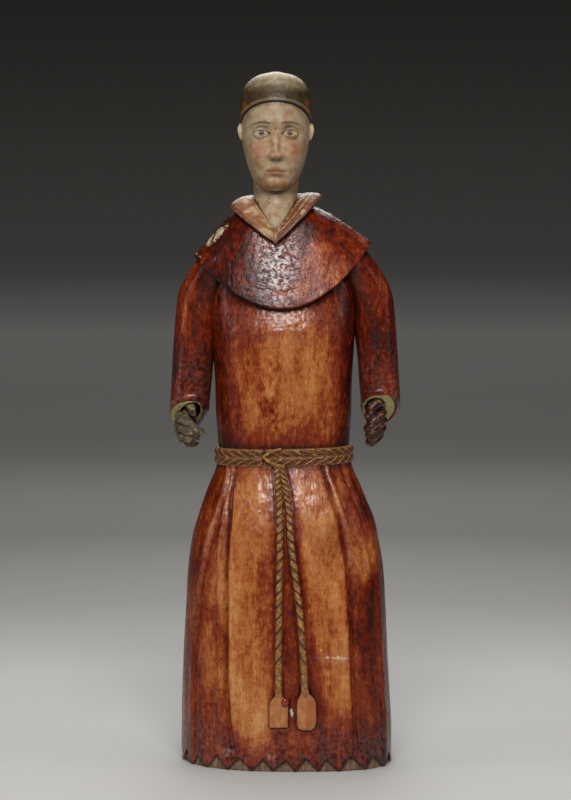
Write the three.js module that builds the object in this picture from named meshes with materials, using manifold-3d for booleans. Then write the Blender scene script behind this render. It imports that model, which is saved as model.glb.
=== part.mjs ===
// A carved wooden friar in a long habit, standing, with hands let into the sleeves.
// Millimetres, +Z up. The figure faces -Y and its right hand is at -X.
// The origin is the centre of the flat underside.

import * as THREE from 'three';
import Module from 'manifold-3d';

// Driving dimensions
const HEIGHT = 600;
const SKIRT_HALF_WIDTH = 92;
const SKIRT_HALF_DEPTH = 71;
const WAIST_HEIGHT = 268;
const WAIST_HALF_WIDTH = 57.5;
const TORSO_HALF_DEPTH = 49;
const SLEEVE_OUTSIDE = 100;
const CAPE_TOP = 487;
const CAPE_FRONT_EDGE = 396;
const CAPE_HALF_WIDTH = 77;
const CAPE_STEP = 3.2;
const NECK_CENTRE = -8.4;
const NECK_RADIUS = 19.3;
const HEAD_HALF_WIDTH = 29.5;
const CHIN_HEIGHT = 498;
const HAIR_THICKNESS = 2.2;
const ROPE_RADIUS = 3.7;
const CORD_RADIUS = 2.7;
const TOOTH_COUNT = 28;
const TOOTH_TIP = 1;
const TOOTH_NOTCH = 9.3;
const HEM_RECESS = 2.8;
const FIT_GAP = 0.35;

const CAPE_RISE_RIGHT_HAND = 0.0074;
const CAPE_RISE_LEFT_HAND = 0.0094;
const FULL_TURN = 2 * Math.PI;

const wasm = await Module();
wasm.setup();

// Smooth value between hand-chosen stations: each is [position, value, value, ...]
function between(stations, at) {
  const last = stations.length - 1;
  const rising = stations[last][0] > stations[0][0];
  const inside = rising ? at : -at;
  const place = (index) => (rising ? stations[index][0] : -stations[index][0]);
  if (inside <= place(0)) {
    return stations[0].slice(1);
  }
  if (inside >= place(last)) {
    return stations[last].slice(1);
  }
  let low = 0;
  while (place(low + 1) < inside) {
    low += 1;
  }
  const span = place(low + 1) - place(low);
  const part = (inside - place(low)) / span;
  const slope = (index, column) => {
    const before = Math.max(index - 1, 0);
    const after = Math.min(index + 1, last);
    return (stations[after][column] - stations[before][column]) / (place(after) - place(before));
  };
  return stations[low].slice(1).map((start, index) => {
    const column = index + 1;
    const end = stations[low + 1][column];
    const a = slope(low, column) * span;
    const b = slope(low + 1, column) * span;
    const square = part * part;
    const cube = square * part;
    return (2 * cube - 3 * square + 1) * start + (cube - 2 * square + part) * a
      + (3 * square - 2 * cube) * end + (cube - square) * b;
  });
}

function mix(from, to, part) {
  return from + (to - from) * part;
}

function clamp01(value) {
  return Math.min(Math.max(value, 0), 1);
}

function hump(distance, width) {
  return Math.exp(-(distance * distance) / (width * width));
}

// Solid of a closed mesh that shares its vertices
function solidOf(points, triangles) {
  const vertProperties = new Float32Array(points.flatMap((point) => [point.x, point.y, point.z]));
  const triVerts = new Uint32Array(triangles);
  return new wasm.Manifold(new wasm.Mesh({ numProp: 3, vertProperties, triVerts }));
}

// Skin over a stack of rings that turn anticlockwise about the way the stack grows,
// with its first and last ring closed by a fan
function loft(rings) {
  const count = rings[0].length;
  const points = rings.flat();
  const triangles = [];
  for (let row = 0; row + 1 < rings.length; row += 1) {
    for (let column = 0; column < count; column += 1) {
      const next = (column + 1) % count;
      const a = row * count + column;
      const b = row * count + next;
      triangles.push(a, b, b + count, a, b + count, a + count);
    }
  }
  const centre = (ring) => ring.reduce((sum, point) => sum.add(point), new THREE.Vector3())
    .divideScalar(count);
  const bottom = points.push(centre(rings[0])) - 1;
  const top = points.push(centre(rings[rings.length - 1])) - 1;
  const topRow = (rings.length - 1) * count;
  for (let column = 0; column < count; column += 1) {
    const next = (column + 1) % count;
    triangles.push(bottom, next, column, top, topRow + column, topRow + next);
  }
  return solidOf(points, triangles);
}

// Closed band: each section is a loop of points, and the last section joins the first
function ringBand(sections) {
  const count = sections[0].length;
  const points = sections.flat();
  const triangles = [];
  sections.forEach((section, row) => {
    const nextRow = ((row + 1) % sections.length) * count;
    section.forEach((point, column) => {
      const next = (column + 1) % count;
      const a = row * count + column;
      const b = row * count + next;
      triangles.push(a, b, nextRow + next, a, nextRow + next, nextRow + column);
    });
  });
  return solidOf(points, triangles);
}

// Solid of one of three's own geometries, put in place by a matrix
function solidOfGeometry(geometry, matrix) {
  const placed = geometry.clone().applyMatrix4(matrix);
  const position = placed.getAttribute('position');
  const keys = new Map();
  const points = [];
  const shared = [];
  for (let index = 0; index < position.count; index += 1) {
    const point = new THREE.Vector3().fromBufferAttribute(position, index);
    const key = point.toArray().map((value) => value.toFixed(4)).join(' ');
    if (!keys.has(key)) {
      keys.set(key, points.push(point) - 1);
    }
    shared.push(keys.get(key));
  }
  const triangles = [];
  const corners = placed.index.array;
  for (let corner = 0; corner < corners.length; corner += 3) {
    const [a, b, c] = [0, 1, 2].map((step) => shared[corners[corner + step]]);
    if (a !== b && b !== c && c !== a) {
      triangles.push(a, b, c);
    }
  }
  return solidOf(points, triangles);
}

function ball(centre, radii, columns = 12, rows = 8, turn = new THREE.Euler()) {
  const matrix = new THREE.Matrix4().compose(centre, new THREE.Quaternion().setFromEuler(turn), radii);
  return solidOfGeometry(new THREE.SphereGeometry(1, columns, rows), matrix);
}

// Round limb through the given points, each [x, y, z, radius], with a domed far end
function limb(stops, sides = 8) {
  const centres = stops.map(([x, y, z]) => new THREE.Vector3(x, y, z));
  const rings = [];
  let across = null;
  stops.forEach((stop, index) => {
    const before = centres[Math.max(index - 1, 0)];
    const after = centres[Math.min(index + 1, centres.length - 1)];
    const along = after.clone().sub(before).normalize();
    if (across === null) {
      const aside = Math.abs(along.x) < 0.8 ? new THREE.Vector3(1, 0, 0) : new THREE.Vector3(0, 1, 0);
      across = aside.clone().addScaledVector(along, -aside.dot(along)).normalize();
    } else {
      across = across.clone().addScaledVector(along, -across.dot(along)).normalize();
    }
    const other = along.clone().cross(across);
    const ringAt = (shift, radius) => Array.from({ length: sides }, (_, side) => {
      const angle = (side / sides) * FULL_TURN;
      return centres[index].clone().addScaledVector(along, shift)
        .addScaledVector(across, radius * Math.cos(angle))
        .addScaledVector(other, radius * Math.sin(angle));
    });
    const radius = stop[3];
    rings.push(ringAt(0, radius));
    if (index === stops.length - 1) {
      rings.push(ringAt(0.8 * radius, 0.55 * radius));
    }
  });
  return loft(rings);
}

// The robe: sections with their own half depth at the front and at the back

// Height, half width, half depth at the front, half depth at the back, shift to the side
const ROBE_STATIONS = [
  [0, SKIRT_HALF_WIDTH, SKIRT_HALF_DEPTH, 64, 0.8],
  [31, SKIRT_HALF_WIDTH, SKIRT_HALF_DEPTH, 64, 0.8],
  [59, 91, 70.2, 63.5, 0.2],
  [94, 89.4, 69, 62.5, 0],
  [137.5, 87.2, 66.6, 61, 0.3],
  [171, 85, 64, 59.5, 0],
  [199, 80.5, 61, 57, -0.2],
  [213, 76.8, 59, 55, 0.3],
  [227, 71.5, 56, 52, -0.4],
  [241, 66, 52, 48, -0.6],
  [255, 60, 47.8, 44, -0.9],
  [WAIST_HEIGHT, WAIST_HALF_WIDTH, 45.5, 41.5, -1.2],
  [283, 57.5, 46, 41.5, -1.5],
  [304, 59, 47.5, 42, -1.7],
  [332, 59.7, TORSO_HALF_DEPTH, 43, -1.8],
  [362, 61.5, 50.5, 44, -1.8],
  [395, 64, 49.5, 44, -2],
  [425, 62, 41, 40, -3],
  [446, 50, 29, 31, -4],
];

// Corners of the plan: the figure's left front is fuller than its right front
const WAIST_FULLNESS = 2.3;
const HEM_FULLNESS_LEFT_HAND = 3.2;
const HEM_FULLNESS_RIGHT_HAND = 2.15;
const HEM_FULLNESS_BACK = 2.5;

function fullness(height, angle) {
  const down = clamp01((WAIST_HEIGHT - height) / 110);
  const toFront = Math.sin(angle) < 0;
  const front = Math.cos(angle) > 0 ? HEM_FULLNESS_LEFT_HAND : HEM_FULLNESS_RIGHT_HAND;
  return mix(WAIST_FULLNESS, toFront ? front : HEM_FULLNESS_BACK, down);
}

function powered(value, power) {
  return Math.sign(value) * Math.abs(value) ** power;
}

// Point of the robe at a height and an angle, moved outwards by a relief
function robePoint(height, angle, relief = 0) {
  const [halfWidth, front, back, shift] = between(ROBE_STATIONS, height);
  const depth = Math.sin(angle) < 0 ? front : back;
  const power = 2 / fullness(height, angle);
  const x = powered(Math.cos(angle), power) * (halfWidth + relief);
  const y = powered(Math.sin(angle), power) * (depth + relief);
  return new THREE.Vector3(shift + x, y, height);
}

// Depth of the robe's front under a sideways place
function robeFront(height, x) {
  const [halfWidth, front, , shift] = between(ROBE_STATIONS, height);
  const share = Math.min(Math.abs(x - shift) / halfWidth, 1);
  const angle = x > shift ? -0.1 : Math.PI + 0.1;
  const power = fullness(height, angle);
  return -front * (1 - share ** power) ** (1 / power);
}

// Pleats: each follows a line down the skirt, given as [height, share of the half width]
const FRONT_PLEAT_RIGHT_HAND = [
  [4, -0.47], [30, -0.52], [70, -0.56], [170, -0.6], [213, -0.63], [240, -0.69], [260, -0.71],
];
const FRONT_PLEAT_LEFT_HAND = [
  [4, 0.64], [94, 0.64], [170, 0.625], [213, 0.6], [240, 0.58], [260, 0.56],
];
const SIDE_PLEAT_RIGHT_HAND = [[4, -0.86], [100, -0.87], [185, -0.9], [213, -0.88], [260, -0.87]];
const SIDE_PLEAT_LEFT_HAND = [[4, 0.9], [100, 0.9], [213, 0.87], [260, 0.84]];
const FRONT_PLEAT_DEPTH = 3.4;
const SIDE_PLEAT_DEPTH = 2.2;
const BACK_PLEAT_DEPTH = 1.8;
const BACK_PLEATS = [42, 90, 138];

function angleAtShare(height, share) {
  const left = share > 0;
  const power = fullness(height, left ? -0.1 : Math.PI + 0.1);
  const angle = Math.acos(Math.min(Math.abs(share), 1) ** (power / 2));
  return left ? FULL_TURN - angle : Math.PI + angle;
}

// How much of a pleat is left at a height: it runs out under the belt
function pleatStrength(height) {
  return clamp01((252 - height) / 30) * mix(0.75, 1, clamp01(height / 60));
}

// Columns of the skin: an angle for each height, and the relief at full strength
const frontPleat = (line, depth, outside) => [
  { angle: (height) => angleAtShare(height, between(line, height)[0]) - outside * 0.085, relief: 0.2 },
  { angle: (height) => angleAtShare(height, between(line, height)[0]), relief: -depth },
  { angle: (height) => angleAtShare(height, between(line, height)[0]) + outside * 0.1, relief: 0.6 },
];
const backPleat = (degrees) => [-5, 0, 5].map((step) => ({
  angle: () => THREE.MathUtils.degToRad(degrees + step),
  relief: step === 0 ? -BACK_PLEAT_DEPTH : 0.3,
}));

function robeColumns() {
  const columns = [
    ...frontPleat(SIDE_PLEAT_LEFT_HAND, SIDE_PLEAT_DEPTH, 1),
    ...frontPleat(FRONT_PLEAT_LEFT_HAND, FRONT_PLEAT_DEPTH, 1),
    ...frontPleat(FRONT_PLEAT_RIGHT_HAND, FRONT_PLEAT_DEPTH, -1),
    ...frontPleat(SIDE_PLEAT_RIGHT_HAND, SIDE_PLEAT_DEPTH, -1),
    ...BACK_PLEATS.flatMap(backPleat),
  ];
  const middle = 200;
  columns.sort((one, other) => one.angle(middle) - other.angle(middle));
  const widest = THREE.MathUtils.degToRad(15);
  const filled = [];
  columns.forEach((column, index) => {
    filled.push(column);
    const next = columns[(index + 1) % columns.length];
    const wrap = index + 1 === columns.length ? FULL_TURN : 0;
    const open = next.angle(middle) + wrap - column.angle(middle);
    const added = Math.floor(open / widest);
    for (let step = 1; step <= added; step += 1) {
      const part = step / (added + 1);
      const angle = (height) => mix(column.angle(height), next.angle(height) + wrap, part);
      filled.push({ angle, relief: 0.5 });
    }
  });
  return filled;
}

const SKIRT_ROWS = [0, 20, 80, 140, 176, 200, 220, 238, 254, WAIST_HEIGHT];
const TORSO_ROWS = [WAIST_HEIGHT - 6, 284, 315, 350, 400, 425, 446];
const TORSO_COLUMNS = 20;

function makeSkirt() {
  const columns = robeColumns();
  return loft(SKIRT_ROWS.map((height) => {
    const strength = pleatStrength(height);
    return columns.map((column) => robePoint(height, column.angle(height), column.relief * strength));
  }));
}

function makeTorso() {
  return loft(TORSO_ROWS.map((height) => Array.from({ length: TORSO_COLUMNS }, (_, index) => {
    return robePoint(height, (index / TORSO_COLUMNS) * FULL_TURN);
  })));
}

// The dagged hem: under its zigzag the bare wooden foot stands back
function hemCutter() {
  const count = 2 * TOOTH_COUNT;
  const sections = Array.from({ length: count }, (_, index) => {
    const angle = toothAngle(index / count);
    const top = index % 2 === 0 ? TOOTH_TIP : TOOTH_NOTCH;
    const inside = robePoint(0, angle, -HEM_RECESS);
    const outside = robePoint(0, angle, 6);
    const at = (point, height) => new THREE.Vector3(point.x, point.y, height);
    return [at(inside, -1), at(outside, -1), at(outside, top), at(inside, top)];
  });
  return ringBand(sections.reverse());
}

// Angles that space the teeth evenly along the hem
const HEM_SAMPLES = 720;
const hemLengths = (() => {
  const lengths = [0];
  let before = robePoint(0, 0);
  for (let step = 1; step <= HEM_SAMPLES; step += 1) {
    const point = robePoint(0, (step / HEM_SAMPLES) * FULL_TURN);
    lengths.push(lengths[step - 1] + point.distanceTo(before));
    before = point;
  }
  return lengths;
})();

function toothAngle(share) {
  const wanted = share * hemLengths[HEM_SAMPLES];
  let step = 0;
  while (step < HEM_SAMPLES - 1 && hemLengths[step + 1] < wanted) {
    step += 1;
  }
  const part = (wanted - hemLengths[step]) / (hemLengths[step + 1] - hemLengths[step]);
  return ((step + part) / HEM_SAMPLES) * FULL_TURN;
}

// Sleeves: height, outside, inside, half depth, shift to the front, for the figure's left arm
const SLEEVE_STATIONS = [
  [268, SLEEVE_OUTSIDE - 1, 69, 20.5, -6],
  [290, SLEEVE_OUTSIDE, 67, 21, -5],
  [310, SLEEVE_OUTSIDE, 65.6, 21.5, -4],
  [332, 98.9, 63.6, 22, -3],
  [350, 98, 62.4, 22.5, -2],
  [370, 96.7, 60, 23.5, -1],
  [390, 95, 57, 24.5, 0],
  [403, 93.5, 54, 26, 0],
  [413, 90.8, 50, 28, 0],
  [423, 86, 46, 30, 0],
  [431, 81, 42, 31.5, 0],
  [438, 76, 38, 31, 0],
  [447, 68.5, 34, 28.5, 0],
  [457, 56, 30, 20, 0],
];
const SLEEVE_ROWS = [268, 315, 350, 385, 405, 420, 434, 447, 457];
const SLEEVE_SIDES = 14;
const SLEEVE_CORNERS = 0.88;
const CUFF_SLANT = THREE.MathUtils.degToRad(34);
const WRIST_LEAN = THREE.MathUtils.degToRad(45);
const CUFF_BLOCK = 120;
const SOCKET_DEPTH = 10;

// Where each cuff's cut face crosses the sleeve's own axis, and its socket
const ARMS = {
  right: { side: -1, cutHeight: 301, shift: -0.6, socketInwards: -3, socketAcross: 9.2 },
  left: { side: 1, cutHeight: 306.5, shift: 0.4, socketInwards: 3.6, socketAcross: 8.6 },
};

function sleeveCentre(arm, height) {
  const [outside, inside, , forward] = between(SLEEVE_STATIONS, height);
  return new THREE.Vector3(arm.side * (outside + inside) / 2 + arm.shift, forward, height);
}

// Frame at a cuff for a lean: the way out of the sleeve, the way forward, and towards the body
function cuffFrame(arm, lean) {
  const out = new THREE.Vector3(0, -Math.sin(lean), -Math.cos(lean));
  const inwards = new THREE.Vector3(-arm.side, 0, 0);
  const forward = new THREE.Vector3(0, -Math.cos(lean), Math.sin(lean));
  const centre = sleeveCentre(arm, arm.cutHeight).addScaledVector(inwards, arm.socketInwards);
  return { centre, out, inwards, forward };
}

function inCuff(frame, inwards, forward, out) {
  return frame.centre.clone().addScaledVector(frame.inwards, inwards)
    .addScaledVector(frame.forward, forward).addScaledVector(frame.out, out);
}

function makeSleeve(arm) {
  const rings = SLEEVE_ROWS.map((height) => {
    const [outside, inside, depth, forward] = between(SLEEVE_STATIONS, height);
    const centre = (outside + inside) / 2;
    const half = (outside - inside) / 2;
    return Array.from({ length: SLEEVE_SIDES }, (_, index) => {
      const angle = (index / SLEEVE_SIDES) * FULL_TURN;
      const x = arm.side * centre + arm.shift + powered(Math.cos(angle), SLEEVE_CORNERS) * half;
      const y = forward + powered(Math.sin(angle), SLEEVE_CORNERS) * depth;
      return new THREE.Vector3(x, y, height);
    });
  });
  return loft(rings);
}

// Oval plug along the way out of a cuff, used for the socket and for the wrist in it
function cuffPlug(frame, radiusAcross, radiusAlong, from, to, sides = 10) {
  const ringAt = (out) => Array.from({ length: sides }, (_, index) => {
    const angle = (index / sides) * FULL_TURN;
    return inCuff(frame, Math.cos(angle) * radiusAcross, Math.sin(angle) * radiusAlong, out);
  });
  const rings = [ringAt(from), ringAt(to)];
  const turned = frame.inwards.clone().cross(frame.forward).dot(frame.out) > 0;
  return loft(turned ? rings : rings.reverse());
}

const SOCKET_ALONG = 15.5;

function cutCuff(sleeve, arm) {
  const face = cuffFrame(arm, CUFF_SLANT);
  const turn = new THREE.Quaternion().setFromUnitVectors(new THREE.Vector3(0, 0, -1), face.out);
  const centre = inCuff(face, 0, 0, CUFF_BLOCK / 2);
  const block = solidOfGeometry(
    new THREE.BoxGeometry(CUFF_BLOCK / 2, CUFF_BLOCK, CUFF_BLOCK),
    new THREE.Matrix4().compose(centre, turn, new THREE.Vector3(1, 1, 1)),
  );
  const wristFrame = cuffFrame(arm, WRIST_LEAN);
  const socket = cuffPlug(wristFrame, arm.socketAcross, SOCKET_ALONG, -SOCKET_DEPTH, 9);
  return sleeve.subtract(block).subtract(socket);
}

// The cape: a round shoulder piece that ends in a step over the chest, sleeves and back
const CAPE_COLUMNS = 28;
const CAPE_ROWS = [0, 0.32, 0.6, 0.84, 1];
const CAPE_NECK = [22, 30, 22];
const CAPE_FULL = [CAPE_HALF_WIDTH, TORSO_HALF_DEPTH + CAPE_STEP + 0.5, TORSO_HALF_DEPTH - 2];
const CAPE_DOME = 1.45;
const CAPE_FRONT_DROP = 34;
const CAPE_CENTRE = -2.2;
const CAPE_FULLNESS = 2.25;
const CAPE_BACK_RISE = 8;
const CAPE_EDGE_DEPTH = 12;

function capeEdgeHeight(x, angle) {
  const fromMiddle = x - CAPE_CENTRE;
  const rise = fromMiddle < 0 ? CAPE_RISE_RIGHT_HAND : CAPE_RISE_LEFT_HAND;
  return CAPE_FRONT_EDGE + CAPE_BACK_RISE * Math.max(Math.sin(angle), 0) + rise * fromMiddle ** 2;
}

function capePoint(angle, share) {
  const toFront = Math.sin(angle) < 0;
  const depthIndex = toFront ? 1 : 2;
  const shift = mix(NECK_CENTRE, CAPE_CENTRE, share);
  const power = 2 / CAPE_FULLNESS;
  const across = mix(CAPE_NECK[0], CAPE_FULL[0], share);
  const deep = mix(CAPE_NECK[depthIndex], CAPE_FULL[depthIndex], share ** 0.9);
  const x = shift + powered(Math.cos(angle), power) * across;
  const y = powered(Math.sin(angle), power) * deep;
  const edgeX = CAPE_CENTRE + powered(Math.cos(angle), power) * CAPE_FULL[0];
  const edge = capeEdgeHeight(edgeX, angle);
  const top = CAPE_TOP - CAPE_FRONT_DROP * hump(Math.cos(angle), 0.45) * (toFront ? 1 : 0);
  return new THREE.Vector3(x, y, mix(top, edge, share ** CAPE_DOME));
}

function makeCape() {
  const ringOf = (place) => Array.from({ length: CAPE_COLUMNS }, (_, index) => {
    return place((index / CAPE_COLUMNS) * FULL_TURN);
  });
  const outer = CAPE_ROWS.map((share) => ringOf((angle) => capePoint(angle, share)));
  const under = ringOf((angle) => {
    const edge = capePoint(angle, 1);
    const inwards = new THREE.Vector3(-Math.cos(angle), -Math.sin(angle), 0.12);
    return edge.addScaledVector(inwards, CAPE_EDGE_DEPTH);
  });
  return loft([under, ...outer.reverse()]);
}

// The folded collar: two lapels that meet in a point on the chest and a plain band behind

// Turn from the front, inner edge [x, y, z], outer edge [x, y] and its share of the rise
const COLLAR_STATIONS = [
  [0, 0, -34.5, 464, 0, -41.5, 0],
  [20, 4, -33.5, 468.5, 9, -42, 0.2],
  [45, 10.5, -28.5, 477, 22, -37.5, 0.53],
  [68, 16.2, -19, 485.5, 33, -26, 0.83],
  [90, 19.8, -8, 491, 39.5, -10, 1],
  [125, 18, 9, 493, 34, 15, 0.98],
  [155, 10, 18, 494, 18, 29, 0.9],
  [180, 0, 21, 494, 0, 33, 0.86],
];
const COLLAR_COLUMNS = 20;
const COLLAR_THICKNESS = 4;
const COLLAR_POINT = 455;
const COLLAR_RISE = { left: 38.5, right: 29.5 };

function collarEdges(degrees) {
  const left = degrees <= 180;
  const turn = left ? degrees : 360 - degrees;
  const [innerX, innerY, innerZ, outerX, outerY, share] = between(COLLAR_STATIONS, turn);
  const side = left ? 1 : -1;
  const backRise = (COLLAR_RISE.left + COLLAR_RISE.right) / 2;
  const rise = mix(left ? COLLAR_RISE.left : COLLAR_RISE.right, backRise, clamp01(turn / 90 - 1));
  return {
    inner: new THREE.Vector3(NECK_CENTRE + side * innerX, innerY, innerZ),
    outer: new THREE.Vector3(NECK_CENTRE + side * outerX, outerY, COLLAR_POINT + rise * share),
  };
}

function makeCollar() {
  const sections = Array.from({ length: COLLAR_COLUMNS }, (_, index) => {
    const { inner, outer } = collarEdges((index / COLLAR_COLUMNS) * 360);
    const middle = inner.clone().lerp(outer, 0.5).add(new THREE.Vector3(0, 0, 1.2));
    const under = outer.clone().lerp(inner, 0.08).add(new THREE.Vector3(0, 0, -COLLAR_THICKNESS));
    const root = inner.clone().lerp(new THREE.Vector3(NECK_CENTRE, 0, inner.z - 4), 0.45);
    const rootLow = root.clone().add(new THREE.Vector3(0, 0, -14));
    return [root, inner, middle, outer, under, rootLow];
  });
  return ringBand(sections);
}

// Neck and head, about the head's own upright axis
const HEAD_Y = -1;

// Height, half width, half depth at the front, half depth at the back
const HEAD_STATIONS = [
  [CHIN_HEIGHT - 1, 9, 27, 12],
  [CHIN_HEIGHT + 3, 15.5, 32.5, 18],
  [507, 19.5, 33.8, 22],
  [515, 23, 34, 26],
  [525, 26.2, 34.4, 31],
  [536, 28.6, 34.8, 35],
  [548, HEAD_HALF_WIDTH, 35.4, 37],
  [560, HEAD_HALF_WIDTH, 36, 37.5],
  [572, 28.8, 34.8, 36.5],
  [582, 26.8, 31.5, 33.5],
  [590, 21.5, 25, 27],
  [595.5, 12.5, 15, 16],
  [597.8, 1, 1.2, 1.2],
];
const HEAD_ROWS = [
  497, 500.5, 504.5, 508.5, 511.3, 513.6, 516.2, 519.6, 525, 531, 537, 541.5, 546, 550.5, 554.5, 559, 575,
];
const HEAD_FULLNESS = 2.15;
const EYE_HEIGHT = 546;
const EYE_APART = 12.2;
const NOSE_BASE = 524;
const MOUTH_HEIGHT = 513.8;

// Relief of the face at a place across and up: sockets, brow, cheeks, chin
function faceRelief(x, height) {
  const aside = Math.abs(x);
  const socket = -4 * hump(aside - EYE_APART, 9) * hump(height - EYE_HEIGHT, 6);
  const brow = 1.6 * hump(aside - 11, 11) * hump(height - EYE_HEIGHT - 9, 4);
  const cheek = 1.3 * hump(aside - 15, 8) * hump(height - 530, 8);
  const muzzle = 1.4 * hump(aside, 10) * hump(height - MOUTH_HEIGHT, 8);
  const upperLip = 1.9 * hump(aside, 7.5) * hump(height - MOUTH_HEIGHT - 2.2, 1.8);
  const lowerLip = 2.1 * hump(aside, 6.6) * hump(height - MOUTH_HEIGHT + 2.6, 1.9);
  const underLip = -1.4 * hump(aside, 9) * hump(height - MOUTH_HEIGHT + 6.2, 2);
  const chin = 1.7 * hump(aside, 8) * hump(height - 502.5, 4.5);
  return socket + brow + cheek + muzzle + upperLip + lowerLip + underLip + chin;
}

function headPoint(height, angle, relief = 0) {
  const [halfWidth, front, back] = between(HEAD_STATIONS, height);
  const toFront = Math.sin(angle) < 0;
  const power = 2 / HEAD_FULLNESS;
  const x = powered(Math.cos(angle), power) * (halfWidth + relief);
  const y = powered(Math.sin(angle), power) * ((toFront ? front : back) + relief);
  const carved = toFront ? -faceRelief(x, height) * Math.abs(Math.sin(angle)) : 0;
  return new THREE.Vector3(NECK_CENTRE + x, HEAD_Y + y + carved, height);
}

// Columns stand closer together over the face
const FACE_TURN = 152;
const FACE_COLUMNS = 15;
const BACK_COLUMNS = 7;
const HEAD_ANGLES = (() => {
  const face = Array.from({ length: FACE_COLUMNS }, (_, index) => {
    return 270 + FACE_TURN * (index / (FACE_COLUMNS - 1) - 0.5);
  });
  const back = Array.from({ length: BACK_COLUMNS }, (_, index) => (index * 180) / (BACK_COLUMNS - 1));
  return [...back, ...face].map((degrees) => THREE.MathUtils.degToRad(degrees));
})();

function makeHead() {
  return loft(HEAD_ROWS.map((height) => HEAD_ANGLES.map((angle) => headPoint(height, angle))));
}

const NECK_SIDES = 16;

function makeNeck() {
  const rows = [
    [452, 20, 22, 20, -4], [463, 22, 29.5, 21, -4], [475, 22, 26.5, 20, -3.5],
    [487, NECK_RADIUS, 20.5, 19, -2.5], [500, NECK_RADIUS, 19, 19, -1], [512, 20, 20, 20, 0],
  ];
  return loft(rows.map(([height, across, front, back, shift]) => {
    return Array.from({ length: NECK_SIDES }, (_, index) => {
      const angle = (index / NECK_SIDES) * FULL_TURN;
      const deep = Math.sin(angle) < 0 ? front : back;
      return new THREE.Vector3(
        NECK_CENTRE + Math.cos(angle) * across, shift + Math.sin(angle) * deep, height,
      );
    });
  }));
}

// Hair: a smooth cap with an arched front edge, lower behind the ears and at the nape
const HAIR_EDGE = [
  [0, 522], [35, 512], [90, 505], [145, 512], [180, 522], [196, 543], [206, 556], [222, 565], [246, 571],
  [270, 573.2], [294, 571], [318, 565], [334, 556], [344, 543], [360, 522],
];
const HAIR_ROWS = [-0.02, 0, 0.3, 0.56, 0.8, 1];
const CROWN = HEIGHT - HAIR_THICKNESS;

function makeHair() {
  const edgeAt = (angle) => between(HAIR_EDGE, THREE.MathUtils.radToDeg(angle))[0];
  const rings = HAIR_ROWS.map((share) => HEAD_ANGLES.map((angle) => {
    const height = mix(edgeAt(angle), CROWN, Math.sin(Math.max(share, 0) * Math.PI / 2));
    const full = mix(0.8, HAIR_THICKNESS, clamp01((height - 516) / 26));
    const thickness = share < 0 ? -1.5 : full;
    const point = headPoint(height, angle, thickness);
    point.z += share * HAIR_THICKNESS;
    return point;
  }));
  return loft(rings);
}

function makeNose() {
  const tipY = HEAD_Y - 41.8;
  // Height, half width, depth of the ridge, half width at the face, depth at the face
  const rows = [
    [NOSE_BASE - 0.8, 1.6, tipY + 5.5, 4.6, -32], [NOSE_BASE + 0.6, 3, tipY + 1, 6.6, -32],
    [NOSE_BASE + 3.2, 2.9, tipY, 6.2, -32], [NOSE_BASE + 8, 1.9, tipY + 2.2, 4.8, -31.5],
    [NOSE_BASE + 15, 1.5, tipY + 4.7, 3.8, -31], [NOSE_BASE + 22, 1.7, tipY + 6.6, 3.9, -31],
    [NOSE_BASE + 27, 2.4, tipY + 7.6, 4.6, -31],
  ];
  return loft(rows.map(([height, ridge, ridgeY, foot, footY]) => [
    [-ridge, ridgeY], [0, ridgeY - 0.5], [ridge, ridgeY], [foot, footY - 2.4], [foot * 0.8, footY + 3],
    [-foot * 0.8, footY + 3], [-foot, footY - 2.4],
  ].map(([x, y]) => new THREE.Vector3(NECK_CENTRE + x, y, height))));
}

function makeFace() {
  const pieces = [makeNose()];
  const at = (x, y, z) => new THREE.Vector3(NECK_CENTRE + x, y, z);
  [-1, 1].forEach((side) => {
    const turn = new THREE.Euler(0, 0, side * 0.3);
    const eye = at(side * EYE_APART, HEAD_Y - 25.6, EYE_HEIGHT);
    const nostril = at(side * 4.6, HEAD_Y - 35.6, NOSE_BASE + 2.6);
    pieces.push(ball(eye, new THREE.Vector3(8, 6.6, 5), 8, 6, turn));
    pieces.push(ball(nostril, new THREE.Vector3(2.9, 4.6, 2.9), 6, 4));
  });
  return pieces;
}

// Ear: a thin oval shell set against the side of the head, with a hollow before its rim
function makeEar(side) {
  const aside = NECK_CENTRE + side * (HEAD_HALF_WIDTH + 0.6);
  const centre = new THREE.Vector3(aside, HEAD_Y - 2, EYE_HEIGHT + 2.5);
  const tilt = new THREE.Euler(0.15, side * -0.12, side * -0.5);
  const shell = ball(centre, new THREE.Vector3(2.9, 6, 8.6), 7, 7, tilt);
  const hollowAt = centre.clone().add(new THREE.Vector3(side * 2.4, -2.4, 1));
  return shell.subtract(ball(hollowAt, new THREE.Vector3(2, 3, 5), 6, 4, tilt));
}

// Belt: two twisted ropes, one above the other, their strands slanted opposite ways

// In rope radii: height above the waist, reach out of the robe; then the strand's lead
const BELT_PROFILE = [[-1.87, 0.37, -0.9], [-0.96, 1, 0], [0, 0.35, 0.9], [0.96, 1, 0], [1.87, 0.37, -0.9]];
const ROPE_LOBES = 33;
const ROPE_RIDGE = 0.9;
const BELT_TILT = 0.9;
const BELT_ROOT = -6;

function makeBelt() {
  const count = 2 * ROPE_LOBES;
  const beltPoint = (share, rise, relief) => {
    const angle = share * FULL_TURN;
    const point = robePoint(WAIST_HEIGHT, angle, relief);
    point.z += rise + BELT_TILT * Math.cos(angle);
    return point;
  };
  const sections = Array.from({ length: count }, (_, index) => {
    const ridge = index % 2 === 0 ? ROPE_RIDGE : -ROPE_RIDGE;
    const strands = BELT_PROFILE.map(([rise, reach, lead]) => {
      const relief = reach * (ROPE_RADIUS + ridge) - 0.6;
      return beltPoint((index + lead) / count, rise * ROPE_RADIUS, relief);
    });
    return [...strands, beltPoint(index / count, 0, BELT_ROOT)];
  });
  return ringBand(sections.reverse());
}

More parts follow.
